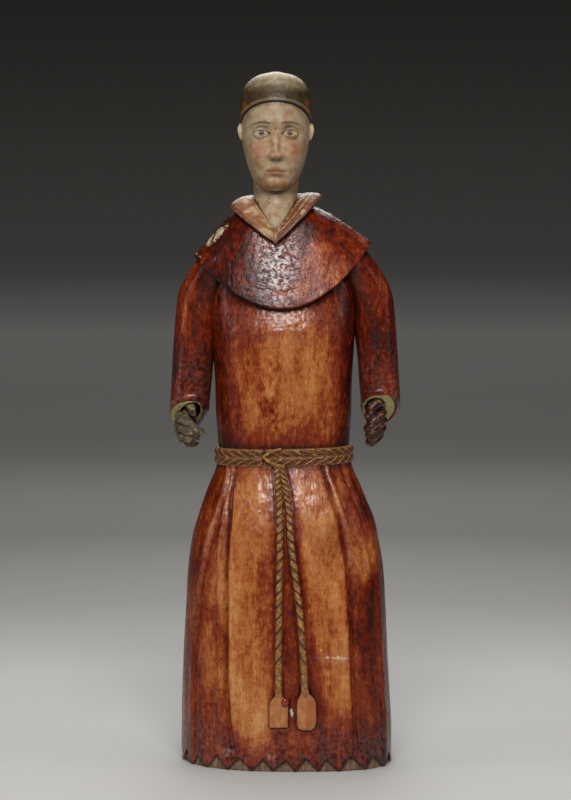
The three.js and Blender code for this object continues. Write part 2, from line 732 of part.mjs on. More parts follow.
// Hanging cords carved in relief down the front: [height, sideways place]
const RIGHT_CORD = [[262, -7.6], [227, -5.2], [197, -4.7], [146, -5.5], [102, -6], [66, -6]];
const LEFT_CORD = [[262, -3.6], [227, 2.6], [197, 4.5], [146, 11.2], [102, 14.8], [66, 16.6]];
const CORD_TURNS = [[0, 0], [0.2, 8], [0.5, 15.5], [0.88, 22], [1, 22.5]];
const CORD_PROFILE = [-95, 0, 95];
const CORD_SINK = 1.6;

function makeCord(line, slant) {
  const top = line[0][0];
  const foot = line[line.length - 1][0];
  const turns = CORD_TURNS[CORD_TURNS.length - 1][1];
  const rings = [];
  for (let step = 0; step <= 2 * turns; step += 1) {
    const ridge = step % 2 === 0 ? 0.5 : -0.5;
    const profile = CORD_PROFILE.map((degrees, column) => {
      const shifted = Math.min(Math.max(step / 2 + slant * (column - 1) * 0.4, 0), turns);
      const share = shareOfTurn(shifted);
      const height = mix(top, foot, share);
      const bend = THREE.MathUtils.degToRad(degrees);
      const radius = CORD_RADIUS + ridge * Math.cos(bend);
      const x = between(line, height)[0] + radius * Math.sin(bend);
      const sink = column === 1 ? 0.3 : CORD_SINK;
      return new THREE.Vector3(x, robeFront(height, x) - radius * Math.cos(bend) + sink, height);
    });
    const height = mix(top, foot, shareOfTurn(Math.min(step / 2, turns)));
    const x = between(line, height)[0];
    rings.push([...profile, new THREE.Vector3(x, robeFront(height, x) + 7, height)]);
  }
  return loft(rings.reverse());
}

function shareOfTurn(turn) {
  const swapped = CORD_TURNS.map(([share, count]) => [count, share]);
  return between(swapped, turn)[0];
}

// Flat tassels at the cords' ends: outlines seen from the front, [x, height]
const TASSEL_RELIEF = 2.4;
const RIGHT_TASSEL = [
  [-8.6, 70], [-8.8, 66], [-12.4, 62.5], [-14, 59], [-14, 38], [2.2, 38.4], [2.6, 59], [1, 62.5],
  [-3.2, 66], [-3.4, 70],
];
const LEFT_TASSEL = [
  [13.6, 72], [13.2, 68], [10.4, 63], [9.4, 58], [9.4, 41], [11, 37.4], [15, 36], [22, 36], [25.4, 38.6],
  [26.6, 43], [26.4, 60], [24, 64.6], [20.2, 68], [19.4, 72],
];

function makeTassel(outline) {
  const ringAt = (relief, shrink) => {
    const middleX = outline.reduce((sum, [x]) => sum + x, 0) / outline.length;
    const middleZ = outline.reduce((sum, [, height]) => sum + height, 0) / outline.length;
    return outline.map(([x, height]) => {
      const place = mix(x, middleX, shrink);
      const level = mix(height, middleZ, shrink * 0.6);
      return new THREE.Vector3(place, robeFront(level, place) - relief, level);
    });
  };
  return loft([ringAt(-4, 0), ringAt(TASSEL_RELIEF - 0.9, 0), ringAt(TASSEL_RELIEF, 0.1)]);
}

function makeBead() {
  const centre = new THREE.Vector3(-0.3, robeFront(60.4, -0.3) - 2.2, 60.4);
  return ball(centre, new THREE.Vector3(3.1, 2.8, 3.9), 6, 4);
}

// Hands: a closed hand in its cuff's own frame, each stop [inwards, forward, out, radius]
function handLimb(frame, stops, sides) {
  return limb(stops.map(([inwards, forward, out, radius]) => {
    return [...inCuff(frame, inwards, forward, out).toArray(), radius];
  }), sides);
}

function makeHand(arm, shape) {
  const frame = cuffFrame(arm, WRIST_LEAN);
  const wrist = cuffPlug(
    frame, arm.socketAcross - 1.5, SOCKET_ALONG - 4, -SOCKET_DEPTH + 2 * FIT_GAP, 7, 10,
  );
  const rolled = (stops) => stops.map(([inwards, forward, out, radius]) => [
    inwards * Math.cos(shape.roll) - forward * Math.sin(shape.roll) + shape.aside,
    inwards * Math.sin(shape.roll) + forward * Math.cos(shape.roll) + shape.ahead,
    out, radius,
  ]);
  const palm = handLimb(frame, rolled(shape.palm), 8);
  const fingers = shape.fingers.map(([forward, reach]) => handLimb(frame, rolled([
    [-7, forward + shape.slant, reach - 7, 3.4], [-4, forward + shape.slant * 0.5, reach, 3.6],
    [4, forward - shape.slant * 0.5, reach + 0.5, 3.5], [shape.tips, forward - shape.slant, reach - 6, 3],
  ]), 5));
  const thumb = handLimb(frame, rolled(shape.thumb), 5);
  return [palm, ...fingers, thumb].reduce((sum, piece) => sum.add(piece), wrist);
}

const HAND_SHAPES = {
  right: {
    roll: 0,
    slant: 0,
    aside: 1.6,
    ahead: -2.5,
    palm: [[-2, 0, 4, 6.8], [-5, 0, 10, 9.5], [-5, 0, 19, 7.5]],
    tips: 11.5,
    fingers: [[8.5, 21.5], [3, 24], [-2.5, 24], [-8, 22.5]],
    thumb: [[-1, 9, 3, 4], [3.5, 13, 6, 3.6], [8, 13, 11, 3]],
  },
  left: {
    roll: 0,
    slant: 4,
    aside: 0.4,
    ahead: -2.5,
    palm: [[0, 2, 4, 6], [-1, 0, 10, 7.6], [-1, -1, 22, 6.6]],
    tips: 6.8,
    fingers: [[9, 17], [3.4, 21], [-2.4, 24.5], [-8.2, 26.5]],
    thumb: [[3, 4, 8, 3.4], [7, 1.5, 15, 3.2], [9.2, -1.5, 22, 2.9]],
  },
};

// One carved block
function makeFigure() {
  const robe = makeSkirt().subtract(hemCutter()).add(makeTorso());
  const sleeves = Object.values(ARMS).map((arm) => cutCuff(makeSleeve(arm), arm));
  const parts = [
    ...sleeves,
    makeCape(),
    makeCollar(),
    makeNeck(),
    makeHead(),
    makeHair(),
    ...makeFace(),
    makeEar(-1),
    makeEar(1),
    makeBelt(),
    makeCord(RIGHT_CORD, 1),
    makeCord(LEFT_CORD, -1),
    makeTassel(RIGHT_TASSEL),
    makeTassel(LEFT_TASSEL),
    makeBead(),
  ];
  return parts.reduce((sum, piece) => sum.add(piece), robe);
}

function meshOf(name, solid, look) {
  const { vertProperties, triVerts } = solid.getMesh();
  const geometry = new THREE.BufferGeometry();
  geometry.setAttribute('position', new THREE.BufferAttribute(vertProperties, 3));
  geometry.setIndex(new THREE.BufferAttribute(triVerts, 1));
  geometry.computeVertexNormals();
  const mesh = new THREE.Mesh(geometry, new THREE.MeshStandardMaterial({ metalness: 0, ...look }));
  mesh.name = name;
  return mesh;
}

const group = new THREE.Group();
group.add(meshOf('carved_figure', makeFigure(), { color: 0x7d3b20, roughness: 0.4 }));
group.add(meshOf('right_hand', makeHand(ARMS.right, HAND_SHAPES.right), { color: 0x6a5a45, roughness: 0.7 }));
group.add(meshOf('left_hand', makeHand(ARMS.left, HAND_SHAPES.left), { color: 0x3a1d14, roughness: 0.5 }));

export default group;
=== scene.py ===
"""A carved and painted wooden friar, with hands let into the sleeves, in its old paint and wear."""
import math

import bpy
import numpy as np
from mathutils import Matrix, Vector


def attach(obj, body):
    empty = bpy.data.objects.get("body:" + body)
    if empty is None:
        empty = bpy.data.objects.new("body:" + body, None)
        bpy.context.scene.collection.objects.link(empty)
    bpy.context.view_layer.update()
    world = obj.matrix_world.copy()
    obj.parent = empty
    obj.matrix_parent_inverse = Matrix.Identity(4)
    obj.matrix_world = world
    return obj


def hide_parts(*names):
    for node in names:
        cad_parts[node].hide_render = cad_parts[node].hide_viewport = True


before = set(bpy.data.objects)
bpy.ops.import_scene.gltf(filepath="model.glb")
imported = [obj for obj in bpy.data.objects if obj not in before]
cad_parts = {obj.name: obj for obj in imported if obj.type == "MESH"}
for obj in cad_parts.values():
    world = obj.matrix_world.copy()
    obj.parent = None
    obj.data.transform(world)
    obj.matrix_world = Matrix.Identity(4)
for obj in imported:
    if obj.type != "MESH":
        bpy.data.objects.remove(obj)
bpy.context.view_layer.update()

# The skirt of the habit
# Carved round with gouges from the same block as the rest, its folds cut as long grooves, then
# covered with gesso and a red-brown oil paint that is rubbed through to the wood on the panels.
# The hem ends in cut teeth that stand proud of the bare wooden foot.

HABIT_OUTLINES = [
    # height, half width, half depth at the front and at the back, shift to the side
    [0, 92, 71, 64, 0.8], [31, 92, 71, 64, 0.8], [59, 91, 70.2, 63.5, 0.2], [94, 89.4, 69, 62.5, 0],
    [137.5, 87.2, 66.6, 61, 0.3], [171, 85, 64, 59.5, 0], [199, 80.5, 61, 57, -0.2],
    [213, 76.8, 59, 55, 0.3], [227, 71.5, 56, 52, -0.4], [241, 66, 52, 48, -0.6],
    [255, 60, 47.8, 44, -0.9], [268, 57.5, 45.5, 41.5, -1.2], [283, 57.5, 46, 41.5, -1.5],
    [304, 59, 47.5, 42, -1.7], [332, 59.7, 49, 43, -1.8], [362, 61.5, 50.5, 44, -1.8],
    [380, 62.6, 50.2, 44, -1.9], [395, 64, 47.8, 44, -2], [425, 62, 41, 40, -3], [446, 50, 29, 31, -4],
]
WAIST = 268
# How square the plan is at the belt, and lower down behind, at the left front and the right front
PLAN_AT_BELT = 2.3
PLAN_BEHIND = 2.5
PLAN_LEFT_FRONT = 3.2
PLAN_RIGHT_FRONT = 2.15
# How far below the belt the plan has taken its lower shape
PLAN_CHANGE = 110
# Tips and notches of the front of the hem in turn: sideways place and height
HEM_CUTS = [
    [-86, 12.4], [-80.1, 1.6], [-76.9, 9.6], [-67.6, 0.9], [-59.2, 12.6], [-50.3, 1.4], [-38.6, 11.4],
    [-29, 0.8], [-19.3, 11.2], [-10.9, 1.8], [0.9, 10.6], [8.3, 0.8], [17.9, 12.2], [28.2, 1.2],
    [35, 10.8], [46.2, 0.7], [55.1, 13.2], [69.1, 1.4], [76.1, 12], [84.6, 1], [89.4, 12.2],
]
BACK_TEETH = 13
BACK_NOTCH = 1.2
BACK_TIP = 11.5
EVEN_FROM = 22


def between(stations, at):
    """Smooth values at a place, between given stations of [place, value, value, ...]"""
    table = np.array(stations, float)
    place = table[:, 0]
    at = np.clip(np.asarray(at, float), place[0], place[-1])
    low = np.clip(np.searchsorted(place, at, side="right") - 1, 0, len(place) - 2)
    before = np.maximum(np.arange(len(place)) - 1, 0)
    after = np.minimum(np.arange(len(place)) + 1, len(place) - 1)
    slope = (table[after] - table[before]) / (place[after] - place[before])[:, None]
    span = (place[low + 1] - place[low])[..., None]
    part = (at[..., None] - place[low][..., None]) / span
    value = (
        (2 * part**3 - 3 * part**2 + 1) * table[low]
        + (part**3 - 2 * part**2 + part) * slope[low] * span
        + (3 * part**2 - 2 * part**3) * table[low + 1]
        + (part**3 - part**2) * slope[low + 1] * span
    )
    return np.moveaxis(value, -1, 0)[1:]


def swell(distance, width):
    return np.exp(-((distance / width) ** 2))


def ease(value, low, high):
    part = np.clip((value - low) / (high - low), 0, 1)
    return part * part * (3 - 2 * part)


def blend(start, end, part):
    return start + (end - start) * part


def drift(x, y, z, size, seed=0):
    """Soft random waves from -1 to 1, in lumps of the given sizes along X, Y and Z"""
    x, y, z = np.broadcast_arrays(x, y, z)
    place = np.stack([x / size[0], y / size[1], z / size[2]], -1)
    cell = np.floor(place)
    part = place - cell
    part = part * part * (3 - 2 * part)
    total = 0
    for corner in range(8):
        step = np.array([corner & 1, corner >> 1 & 1, corner >> 2 & 1])
        spun = np.sin((cell + step) @ np.array([127.1, 311.7, 74.7]) + seed * 13.7) * 43758.5453
        weight = np.where(step == 1, part, 1 - part).prod(-1)
        total = total + (2 * (spun - np.floor(spun)) - 1) * weight
    return total


def patch(x, z, middle, size, turn=0.0, soft=0.45):
    """Soft-edged oval, 1 inside and 0 outside, seen square on from the front"""
    across, up = x - middle[0], z - middle[1]
    cos, sin = math.cos(math.radians(turn)), math.sin(math.radians(turn))
    reach = np.hypot((across * cos + up * sin) / size[0], (up * cos - across * sin) / size[1])
    return 1 - ease(reach, 1 - soft, 1 + soft)


def away_from(x, z, line):
    """Distance to a line of points, seen square on from the front"""
    best = np.full(np.broadcast(x, z).shape, 1e9)
    for (ax, az), (bx, bz) in zip(line, line[1:]):
        along = (bx - ax) ** 2 + (bz - az) ** 2
        part = np.clip(((x - ax) * (bx - ax) + (z - az) * (bz - az)) / along, 0, 1)
        best = np.minimum(best, np.hypot(x - ax - part * (bx - ax), z - az - part * (bz - az)))
    return best


def length_along(points):
    """Length of a line up to each of its points"""
    return np.concatenate([[0], np.cumsum(np.linalg.norm(np.diff(points, axis=0), axis=1))])


def below_belt(height):
    return np.clip((WAIST - np.asarray(height)) / PLAN_CHANGE, 0, 1)


def habit_ring(height, shares):
    """Plan of the habit at a height, at shares of its length from the middle of the back: place, outward
    way and length. Its left front is fuller than its right front."""
    half_width, front, back, shift = between(HABIT_OUTLINES, height)
    angle = np.linspace(0, 2 * np.pi, 1441) + np.pi / 2
    cos, sin = np.cos(angle), np.sin(angle)
    low = np.where(sin > 0, PLAN_BEHIND, np.where(cos > 0, PLAN_LEFT_FRONT, PLAN_RIGHT_FRONT))
    bend = blend(PLAN_AT_BELT, low, below_belt(height))
    across, along = np.abs(cos / half_width), np.abs(sin / np.where(sin < 0, front, back))
    reach = (across**bend + along**bend) ** (-1 / bend)
    x, y = reach * cos, reach * sin
    length = length_along(np.stack([x, y], -1))
    heading = np.unwrap(np.arctan2(np.gradient(y, length), np.gradient(x, length)))
    at = np.asarray(shares) * length[-1]
    turned = np.interp(at, length, heading)
    x, y = np.interp(at, length, x), np.interp(at, length, y)
    return x + shift, y, np.sin(turned), -np.cos(turned), at


def habit_rings(heights, shares):
    return [np.array(part) for part in zip(*[habit_ring(height, shares) for height in heights])]


def habit_front(x, z):
    """Depth of the habit's front at a place seen square on"""
    half_width, front, back, shift = between(HABIT_OUTLINES, z)
    power = blend(PLAN_AT_BELT, np.where(x > shift, PLAN_LEFT_FRONT, PLAN_RIGHT_FRONT), below_belt(z))
    share = np.minimum(np.abs(x - shift) / half_width, 0.999)
    return -front * (1 - share**power) ** (1 / power)


def front_heavy(behind_count, front_count, turn=0.26):
    """Shares of the way round from the middle of the back, closer together over the front"""
    behind = np.linspace(0, turn, behind_count)[:-1]
    return np.concatenate([behind, np.linspace(turn, 1 - turn, front_count), 1 - behind[::-1]])


def clear_selection():
    if bpy.context.mode != "OBJECT":
        bpy.ops.object.mode_set(mode="OBJECT")
    bpy.ops.object.select_all(action="DESELECT")


def gathered(row):
    """A row of points drawn together in its own middle"""
    return np.broadcast_to(row[:-1].mean(0), row.shape)


def rolled(name, place, marks=None, close=False):
    """A flat grid rolled shut: place holds a point in millimetres for each row and column. Its end rows
    meet in a point or in each other, or close draws each of them together. Marks are painted on it."""
    marks = {mark: np.broadcast_to(value, place.shape[:2]) for mark, value in (marks or {}).items()}
    if close:
        place = np.concatenate([gathered(place[0])[None], place, gathered(place[-1])[None]])
        marks = {mark: np.pad(value, ((1, 1), (0, 0)), "edge") for mark, value in marks.items()}
    rows, columns = place.shape[0] - 1, place.shape[1] - 1
    clear_selection()
    bpy.ops.mesh.primitive_grid_add(x_subdivisions=columns, y_subdivisions=rows, size=1)
    piece = bpy.context.object
    piece.name = piece.data.name = name
    flat = np.empty(len(piece.data.vertices) * 3)
    piece.data.vertices.foreach_get("co", flat)
    column = np.rint((flat[0::3] + 0.5) * columns).astype(int)
    row = np.rint((flat[1::3] + 0.5) * rows).astype(int)
    shut = place.copy()
    shut[:, -1] = shut[:, 0]
    piece.data.vertices.foreach_set("co", (shut[row, column] * 0.001).ravel())
    for mark, value in marks.items():
        held = np.array(value, np.float32)
        held[:, -1] = held[:, 0]
        piece.data.attributes.new(mark, "FLOAT", "POINT").data.foreach_set("value", held[row, column])
    bpy.ops.object.mode_set(mode="EDIT")
    bpy.ops.mesh.select_all(action="SELECT")
    bpy.ops.mesh.remove_doubles(threshold=0.000002)
    bpy.ops.mesh.normals_make_consistent(inside=False)
    bpy.ops.object.mode_set(mode="OBJECT")
    bpy.ops.object.shade_smooth()
    return piece


# Each fold: height and share of the half width; groove depth and width; ridge height and distance
FOLDS = [
    [[[4, -0.47], [30, -0.52], [70, -0.56], [170, -0.6], [213, -0.63], [240, -0.69], [268, -0.72]],
     3.2, 1.7, 1.7, 6],
    [[[4, 0.64], [94, 0.64], [170, 0.625], [213, 0.6], [240, 0.58], [268, 0.55]], 3.0, 1.6, 1.7, 5],
    [[[4, -0.86], [100, -0.86], [150, -0.84], [192, -0.79], [219, -0.745], [245, -0.75], [268, -0.81]],
     2.0, 1.6, 0.9, 6],
    [[[4, 0.9], [100, 0.9], [213, 0.87], [268, 0.84]], 1.8, 1.8, 0.9, 6],
]
BACK_FOLDS = [-0.79, 0.0, 0.79]
# Height and sideways place of the two cords, and sideways place and height round each tassel
RIGHT_CORD = [[66, -6], [102, -6], [146, -5.5], [197, -4.7], [227, -5.2], [262, -7.6]]
LEFT_CORD = [[66, 16.6], [102, 14.8], [146, 11.2], [197, 4.5], [227, 2.6], [262, -3.6]]
RIGHT_TASSEL = [
    [-8.6, 70], [-8.8, 66], [-12.4, 62.5], [-14, 59], [-14, 38], [2.2, 38.4], [2.6, 59], [1, 62.5],
    [-3.2, 66], [-3.4, 70],
]
LEFT_TASSEL = [
    [13.6, 72], [13.2, 68], [10.4, 63], [9.4, 58], [9.4, 41], [11, 37.4], [15, 36], [22, 36],
    [25.4, 38.6], [26.6, 43], [26.4, 60], [24, 64.6], [20.2, 68], [19.4, 72],
]


def tool_marks(x, y, z, seed):
    """Long shallow flats that the gouge leaves"""
    around = np.arctan2(y, x) * 60
    broad = drift(around, 0, z, (9, 1, 60), seed)
    return 0.3 * broad + 0.13 * drift(around, 0, z, (3.2, 1, 16), seed + 1)


def spots_of(x, z, spots):
    """Sum of soft patches: middle, size, turn, softness and amount of each"""
    return sum(amount * patch(x, z, middle, size, turn, soft) for middle, size, turn, soft, amount in spots)


shares = front_heavy(51, 293)
hem_x, hem_y = habit_ring(0, shares)[:2]
cut_shares = np.interp([place for place, height in HEM_CUTS], hem_x[hem_y < 0], shares[hem_y < 0])
back_shares = np.linspace(cut_shares[-1] - 1, cut_shares[0], 2 * BACK_TEETH + 1)[1:-1]
back_heights = np.where(np.arange(len(back_shares)) % 2 == 0, BACK_NOTCH, BACK_TIP)
all_shares = np.concatenate([back_shares, cut_shares, back_shares + 1])
all_heights = np.concatenate([back_heights, [height for place, height in HEM_CUTS], back_heights])
hem_edge = np.interp(shares, all_shares, all_heights) + 0.3 * drift(shares * 600, 0, 0, (9, 1, 1), 5)
hem_edge = np.maximum(hem_edge, 0.5)

# From the hem's underside to its edge and up to even heights: share of the way, inset and rise
hem_rows = [(0, 7, 3.0), (0, 3.4, 0.7), (0, 0.9, 0.0)] + [(step / 16, 0, 0) for step in range(17)]
even_heights = np.linspace(EVEN_FROM, WAIST + 1, 184)[1:]
x, y, out_x, out_y, length = habit_rings([0] * len(hem_rows) + list(even_heights), shares)
z = np.array(
    [blend(hem_edge, EVEN_FROM, part) + rise for part, inset, rise in hem_rows]
    + [np.full(shares.shape, height) for height in even_heights]
)
insets = np.zeros((len(z), 1))
insets[:len(hem_rows), 0] = [inset for part, inset, rise in hem_rows]
front = ease(-y, 2, 25)
half_width, shift = between(HABIT_OUTLINES, z)[[0, 3]]

relief = tool_marks(x, y, z, 1)
upper_front = front * ease(z, 175, 222) * (1 - ease(z, 262, 268))
relief -= 0.55 * upper_front * (0.5 - np.abs(drift(x, 0, z, (8, 1, 11), 14)))
relief -= 0.26 * upper_front * (0.5 - np.abs(drift(x, 0, z, (2.6, 1, 3.6), 15)))
# Painted shade, with some dirt: each fold groove is darkened in the colour as well as cut
groove_shade_and_dirt = np.zeros(x.shape)
worn_and_lit_crest = np.zeros(x.shape)
fold_place = []
ahead = slice(40, len(shares) - 40)
for number, (line, depth, width, ridge, reach) in enumerate(FOLDS):
    at_x = between(line, z)[0] * half_width + shift
    fold_place.append(at_x)
    outer = np.sign(line[0][1])
    for row in range(len(x)):
        at = np.interp(at_x[row], x[row, ahead], length[row, ahead])
        off = (length[row] - at) * outer
        fade = blend(0.7, 1, ease(z[row], 2, 40)) * (1 - 0.35 * ease(z[row], 235, 268))
        lips = ridge * (swell(off - reach, 0.62 * reach) + 0.25 * swell(off + reach, reach))
        relief[row] += fade * (lips - depth * swell(off, width))
        groove_shade_and_dirt[row] += fade * swell(off, 1.2 * width) * (0.9 if depth > 2.5 else 0.55)
        # The bevel beside each front groove is rubbed paler and also painted light as the highlight it
        # catches
        if number < 3:
            wide = blend(8.5, 5, ease(z[row], 190, 250))
            band = ease(off, 0.9, 2) * (1 - ease(off, wide - 0.8, wide + 0.6))
            worn_and_lit_crest[row] = np.maximum(worn_and_lit_crest[row], band * ease(z[row], 110, 230) * (0.8 if number else 1))
for share in BACK_FOLDS:
    off = x - share * half_width - shift
    back = ease(y, 2, 20)
    relief += back * (0.8 * swell(np.abs(off) - 6, 4) - 1.9 * swell(off, 1.9))
    groove_shade_and_dirt += back * 0.7 * swell(off, 2.2)
right_off = x - between(RIGHT_CORD, z)[0]
left_off = x - between(LEFT_CORD, z)[0]
hanging = front * ease(z, 60, 68) * (1 - ease(z, 264, 268))
beside = np.minimum(np.abs(right_off), np.abs(left_off))
among = hanging * ease(right_off, 1, 4) * ease(-left_off, 1, 4)
outline_off = np.minimum(
    away_from(x, z, RIGHT_TASSEL + RIGHT_TASSEL[:1]), away_from(x, z, LEFT_TASSEL + LEFT_TASSEL[:1])
)
relief -= hanging * 1.1 * swell(beside - 3.5, 1.2) + 0.8 * among
relief -= front * 0.9 * swell(outline_off, 1.4)
drops = patch(x, z, (-48.9, 15.5), (3.6, 3.4), 0, 0.9)
drops = np.maximum(drops, patch(x, z, (-12.3, 13), (4.8, 2.2), 0, 0.9))
drops = front * drops * (0.6 + 0.4 * drift(x, 0, z, (1.6, 1, 1.6), 16))
relief += 1.2 * drops - insets

left_panel = ease(x, fold_place[0] + 0.5, fold_place[0] + 4) * (1 - ease(x, -17, -9)) * ease(z, 14, 52)
panel_from = between(LEFT_CORD, z)[0] + 4 + 9 * (1 - ease(z, 50, 140))
right_panel = ease(x, panel_from, panel_from + 9) * ease(z, 26, 76)
right_panel = right_panel * (1 - ease(x, fold_place[1] - 6, fold_place[1]))
bare = front * np.maximum(left_panel, right_panel) * (1 - 0.5 * ease(z, 236, 262))
coat = 0.66 - 0.43 * bare
coat += 0.18 * right_panel * patch(x, z, (27, 112), (11, 40), 4, 0.9)
coat += 0.14 * left_panel * patch(x, z, (-18, 150), (6, 60))
coat += front * spots_of(x, z, [
    ((38, 194), (10, 17), -10, 0.8, 0.16), ((67, 186), (14, 22), -14, 0.7, -0.42),
    ((-58, 165), (9, 30), 6, 0.9, -0.26), ((-66, 95), (9, 24), 3, 0.9, -0.2),
    ((46, 238), (7, 26), -20, 0.8, -0.22), ((-24, 40), (11, 22), 0, 0.9, -0.22),
])
worn_behind = ease(y, 5, 30) * patch(x, z, (0, 140), (60, 110), 0, 0.8)
coat -= 0.3 * worn_behind * ease(drift(x, y, z, (26, 26, 60), 11), 0, 0.8)
coat += 0.06 * among + 0.08 * hanging * swell(beside, 8) - 0.2 * worn_and_lit_crest
coat += front * (0.08 * ease(x, 52, 66) - 0.05 * ease(-x, 52, 66))
# The glaze is darker round the tassels, partly as painted shade of their sunk ground
coat += 0.12 * front * swell(outline_off, 7) + 0.1 * (1 - ease(z, 8, 40))
coat += 0.1 * drift(x, y, z, (30, 30, 60), 12) + 0.07 * drift(x, y, z, (11, 11, 30), 13)
# Painted shade, with some dirt: darker in the fold grooves, in the channels beside the cords, round the
# tassels, along the hem's edge and under the belt. The olive patch on the right panel is a stain, and the
# flight hole is painted dark as the shade inside it.
dirt_and_shade = 0.36 * groove_shade_and_dirt + 0.4 * hanging * swell(beside - 3.5, 0.7)
dirt_and_shade = np.maximum.reduce([
    np.clip(dirt_and_shade + 0.6 * front * swell(outline_off, 0.8), 0, 0.9),
    0.8 * swell(z - hem_edge - 0.5, 0.8), 0.24 * front * patch(x, z, (39, 196), (11, 17), -10, 0.8),
    front * ease(-np.hypot(x + 21.8, z - 221.5), -1.2, -0.7), 0.8 * ease(z, 255, 263),
])
chip = patch(x, z, (5.4, 51.5), (1.5, 4.2), 4, 0.5) * ease(drift(x, 0, z, (1.3, 1, 2.2), 17), -0.7, -0.1)
scuff = patch(x, z, (42.5, 98), (14, 1.5), -4, 0.7) * ease(drift(x, 0, z, (1.1, 1, 0.7), 18), -1.2, 0)
# Pale where gesso shows at the chip and the scuff; the pale on the ridge bevels and on the hem's cut
# underside is painted highlight
gesso_and_highlight = np.maximum(front * np.maximum(0.95 * chip, scuff), 0.5 * worn_and_lit_crest * ease(z, 170, 240))
# Where the varnish is glossy: this sets the shine and also paints a pale sheen into the colour where
# highlights fall, on the skirt's top, the ridge bevels, the scuff, the drops and the hem
gloss_and_painted_sheen = patch(x, z, (-18, 236), (16, 34), -6, 0.9)
gloss_and_painted_sheen = 0.55 * np.maximum(gloss_and_painted_sheen, patch(x, z, (17, 240), (15, 32), 6, 0.9))
gloss_and_painted_sheen += 0.6 * patch(x, z, (42.5, 97), (14, 3.4), -4, 0.9) + 0.2 * ease(-z, -60, -20)
skirt = rolled("skirt_of_the_habit", np.stack([x + out_x * relief, y + out_y * relief, z], -1), {
    "coat": coat, "dirt_and_shade": dirt_and_shade, "gesso_and_highlight": np.maximum(gesso_and_highlight, 0.7 * (insets > 0)),
    "gloss_and_painted_sheen": np.clip(front * gloss_and_painted_sheen + 0.5 * worn_and_lit_crest + 1.9 * drops, 0, 1),
}, close=True)


# How far the straight net of cracks is bent, in metres
CRACK_BEND = 0.0012


def tint(red, green, blue):
    """Paint colour, from 0 to 255 as seen, as the shader wants it"""
    return tuple(
        value / 12.92 if value <= 0.04045 else ((value + 0.055) / 1.055) ** 2.4
        for value in (red / 255, green / 255, blue / 255)
    ) + (1.0,)


def finish_of(name, roughness, coat=0.0, coat_roughness=0.2, shine=0.5):
    """A new finish with its shader's own settings"""
    finish = bpy.data.materials.new(name)
    finish.use_nodes = True
    surface = finish.node_tree.nodes["Principled BSDF"]
    surface.inputs["Roughness"].default_value = roughness
    surface.inputs["Coat Weight"].default_value = coat
    surface.inputs["Coat Roughness"].default_value = coat_roughness
    surface.inputs["Specular IOR Level"].default_value = shine
    return finish, finish.node_tree, surface


def node_of(tree, kind, inputs=None, **settings):
    """A new shader node: each of its inputs is a value or comes from another node"""
    node = tree.nodes.new("ShaderNode" + kind)
    for setting, value in settings.items():
        setattr(node, setting, value)
    for name, source in (inputs or {}).items():
        if isinstance(source, bpy.types.NodeSocket):
            tree.links.new(source, node.inputs[name])
        else:
            node.inputs[name].default_value = source
    return node


def leveled(tree, value, low, high, start=0.0, end=1.0):
    ends = {"From Min": low, "From Max": high, "To Min": start, "To Max": end}
    level = node_of(tree, "MapRange", {"Value": value, **ends}, interpolation_type="SMOOTHSTEP")
    return level.outputs["Result"]


def mottle(tree, size, low=0.3, high=0.7, tall=1.0, detail=3.0, seed=0.0):
    """Irregular spots of a size in millimetres, drawn out upwards by tall"""
    place = node_of(tree, "TexCoord").outputs["Object"]
    moved = {"Vector": place, "Scale": (1, 1, 1 / tall), "Location": (seed, seed * 0.7, seed * 0.3)}
    place = node_of(tree, "Mapping", moved).outputs["Vector"]
    noise = node_of(tree, "TexNoise", {"Vector": place, "Scale": 1000 / size, "Detail": detail})
    return leveled(tree, noise.outputs["Fac"], low, high)


def cracks(tree, size, width):
    """Fine net of cracks in old varnish: 1 in a crack"""
    place = node_of(tree, "TexCoord").outputs["Object"]
    waves = node_of(tree, "TexNoise", {"Vector": place, "Scale": 600 / size}).outputs["Color"]
    bent = {0: waves, 1: (CRACK_BEND, CRACK_BEND, CRACK_BEND), 2: place}
    place = node_of(tree, "VectorMath", bent, operation="MULTIPLY_ADD").outputs["Vector"]
    cell = node_of(tree, "TexVoronoi", {"Vector": place, "Scale": 1000 / size}, feature="DISTANCE_TO_EDGE")
    return leveled(tree, cell.outputs["Distance"], 0, width, 1.0, 0.0)


def mark(tree, name):
    """A painted mark of the piece"""
    return node_of(tree, "Attribute", attribute_name=name).outputs["Fac"]


def reckon(tree, operation, *values):
    return node_of(tree, "Math", dict(enumerate(values)), operation=operation).outputs["Value"]


def swung(tree, value, amount, base):
    """A value pushed up and down by a 0 to 1 pattern"""
    return reckon(tree, "ADD", base, reckon(tree, "MULTIPLY", reckon(tree, "SUBTRACT", value, 0.5), amount))


def rubbed(tree, name, spots, grain, low=0.42, high=0.62):
    """A painted mark with its edge broken up by spots and grain"""
    broken = reckon(tree, "MULTIPLY_ADD", spots, 0.7, mark(tree, name))
    broken = reckon(tree, "MULTIPLY_ADD", grain, 0.3, broken)
    return leveled(tree, broken, low + 0.5, high + 0.5)


def graded(tree, value, colours):
    """Colours that follow one another as a value rises: place, red, green and blue of each"""
    ramp = node_of(tree, "ValToRGB", {"Fac": value})
    stops = ramp.color_ramp.elements
    while len(stops) < len(colours):
        stops.new(0.5)
    for stop, (place, *colour) in zip(stops, colours):
        stop.position = place
        stop.color = tint(*colour)
    return ramp.outputs["Color"]


def over(tree, under, top, share):
    """Top colour laid over the colour under it"""
    mix = node_of(tree, "Mix", {"Factor": share, "A": under, "B": top}, data_type="RGBA")
    return mix.outputs["Result"]


def layered(tree, colour, layers):
    """A colour with others laid over it: red, green and blue of each, where it lies and how strongly"""
    for red, green, blue, share, strength in layers:
        if strength < 1:
            share = reckon(tree, "MULTIPLY", share, strength)
        colour = over(tree, colour, tint(red, green, blue), share)
    return colour


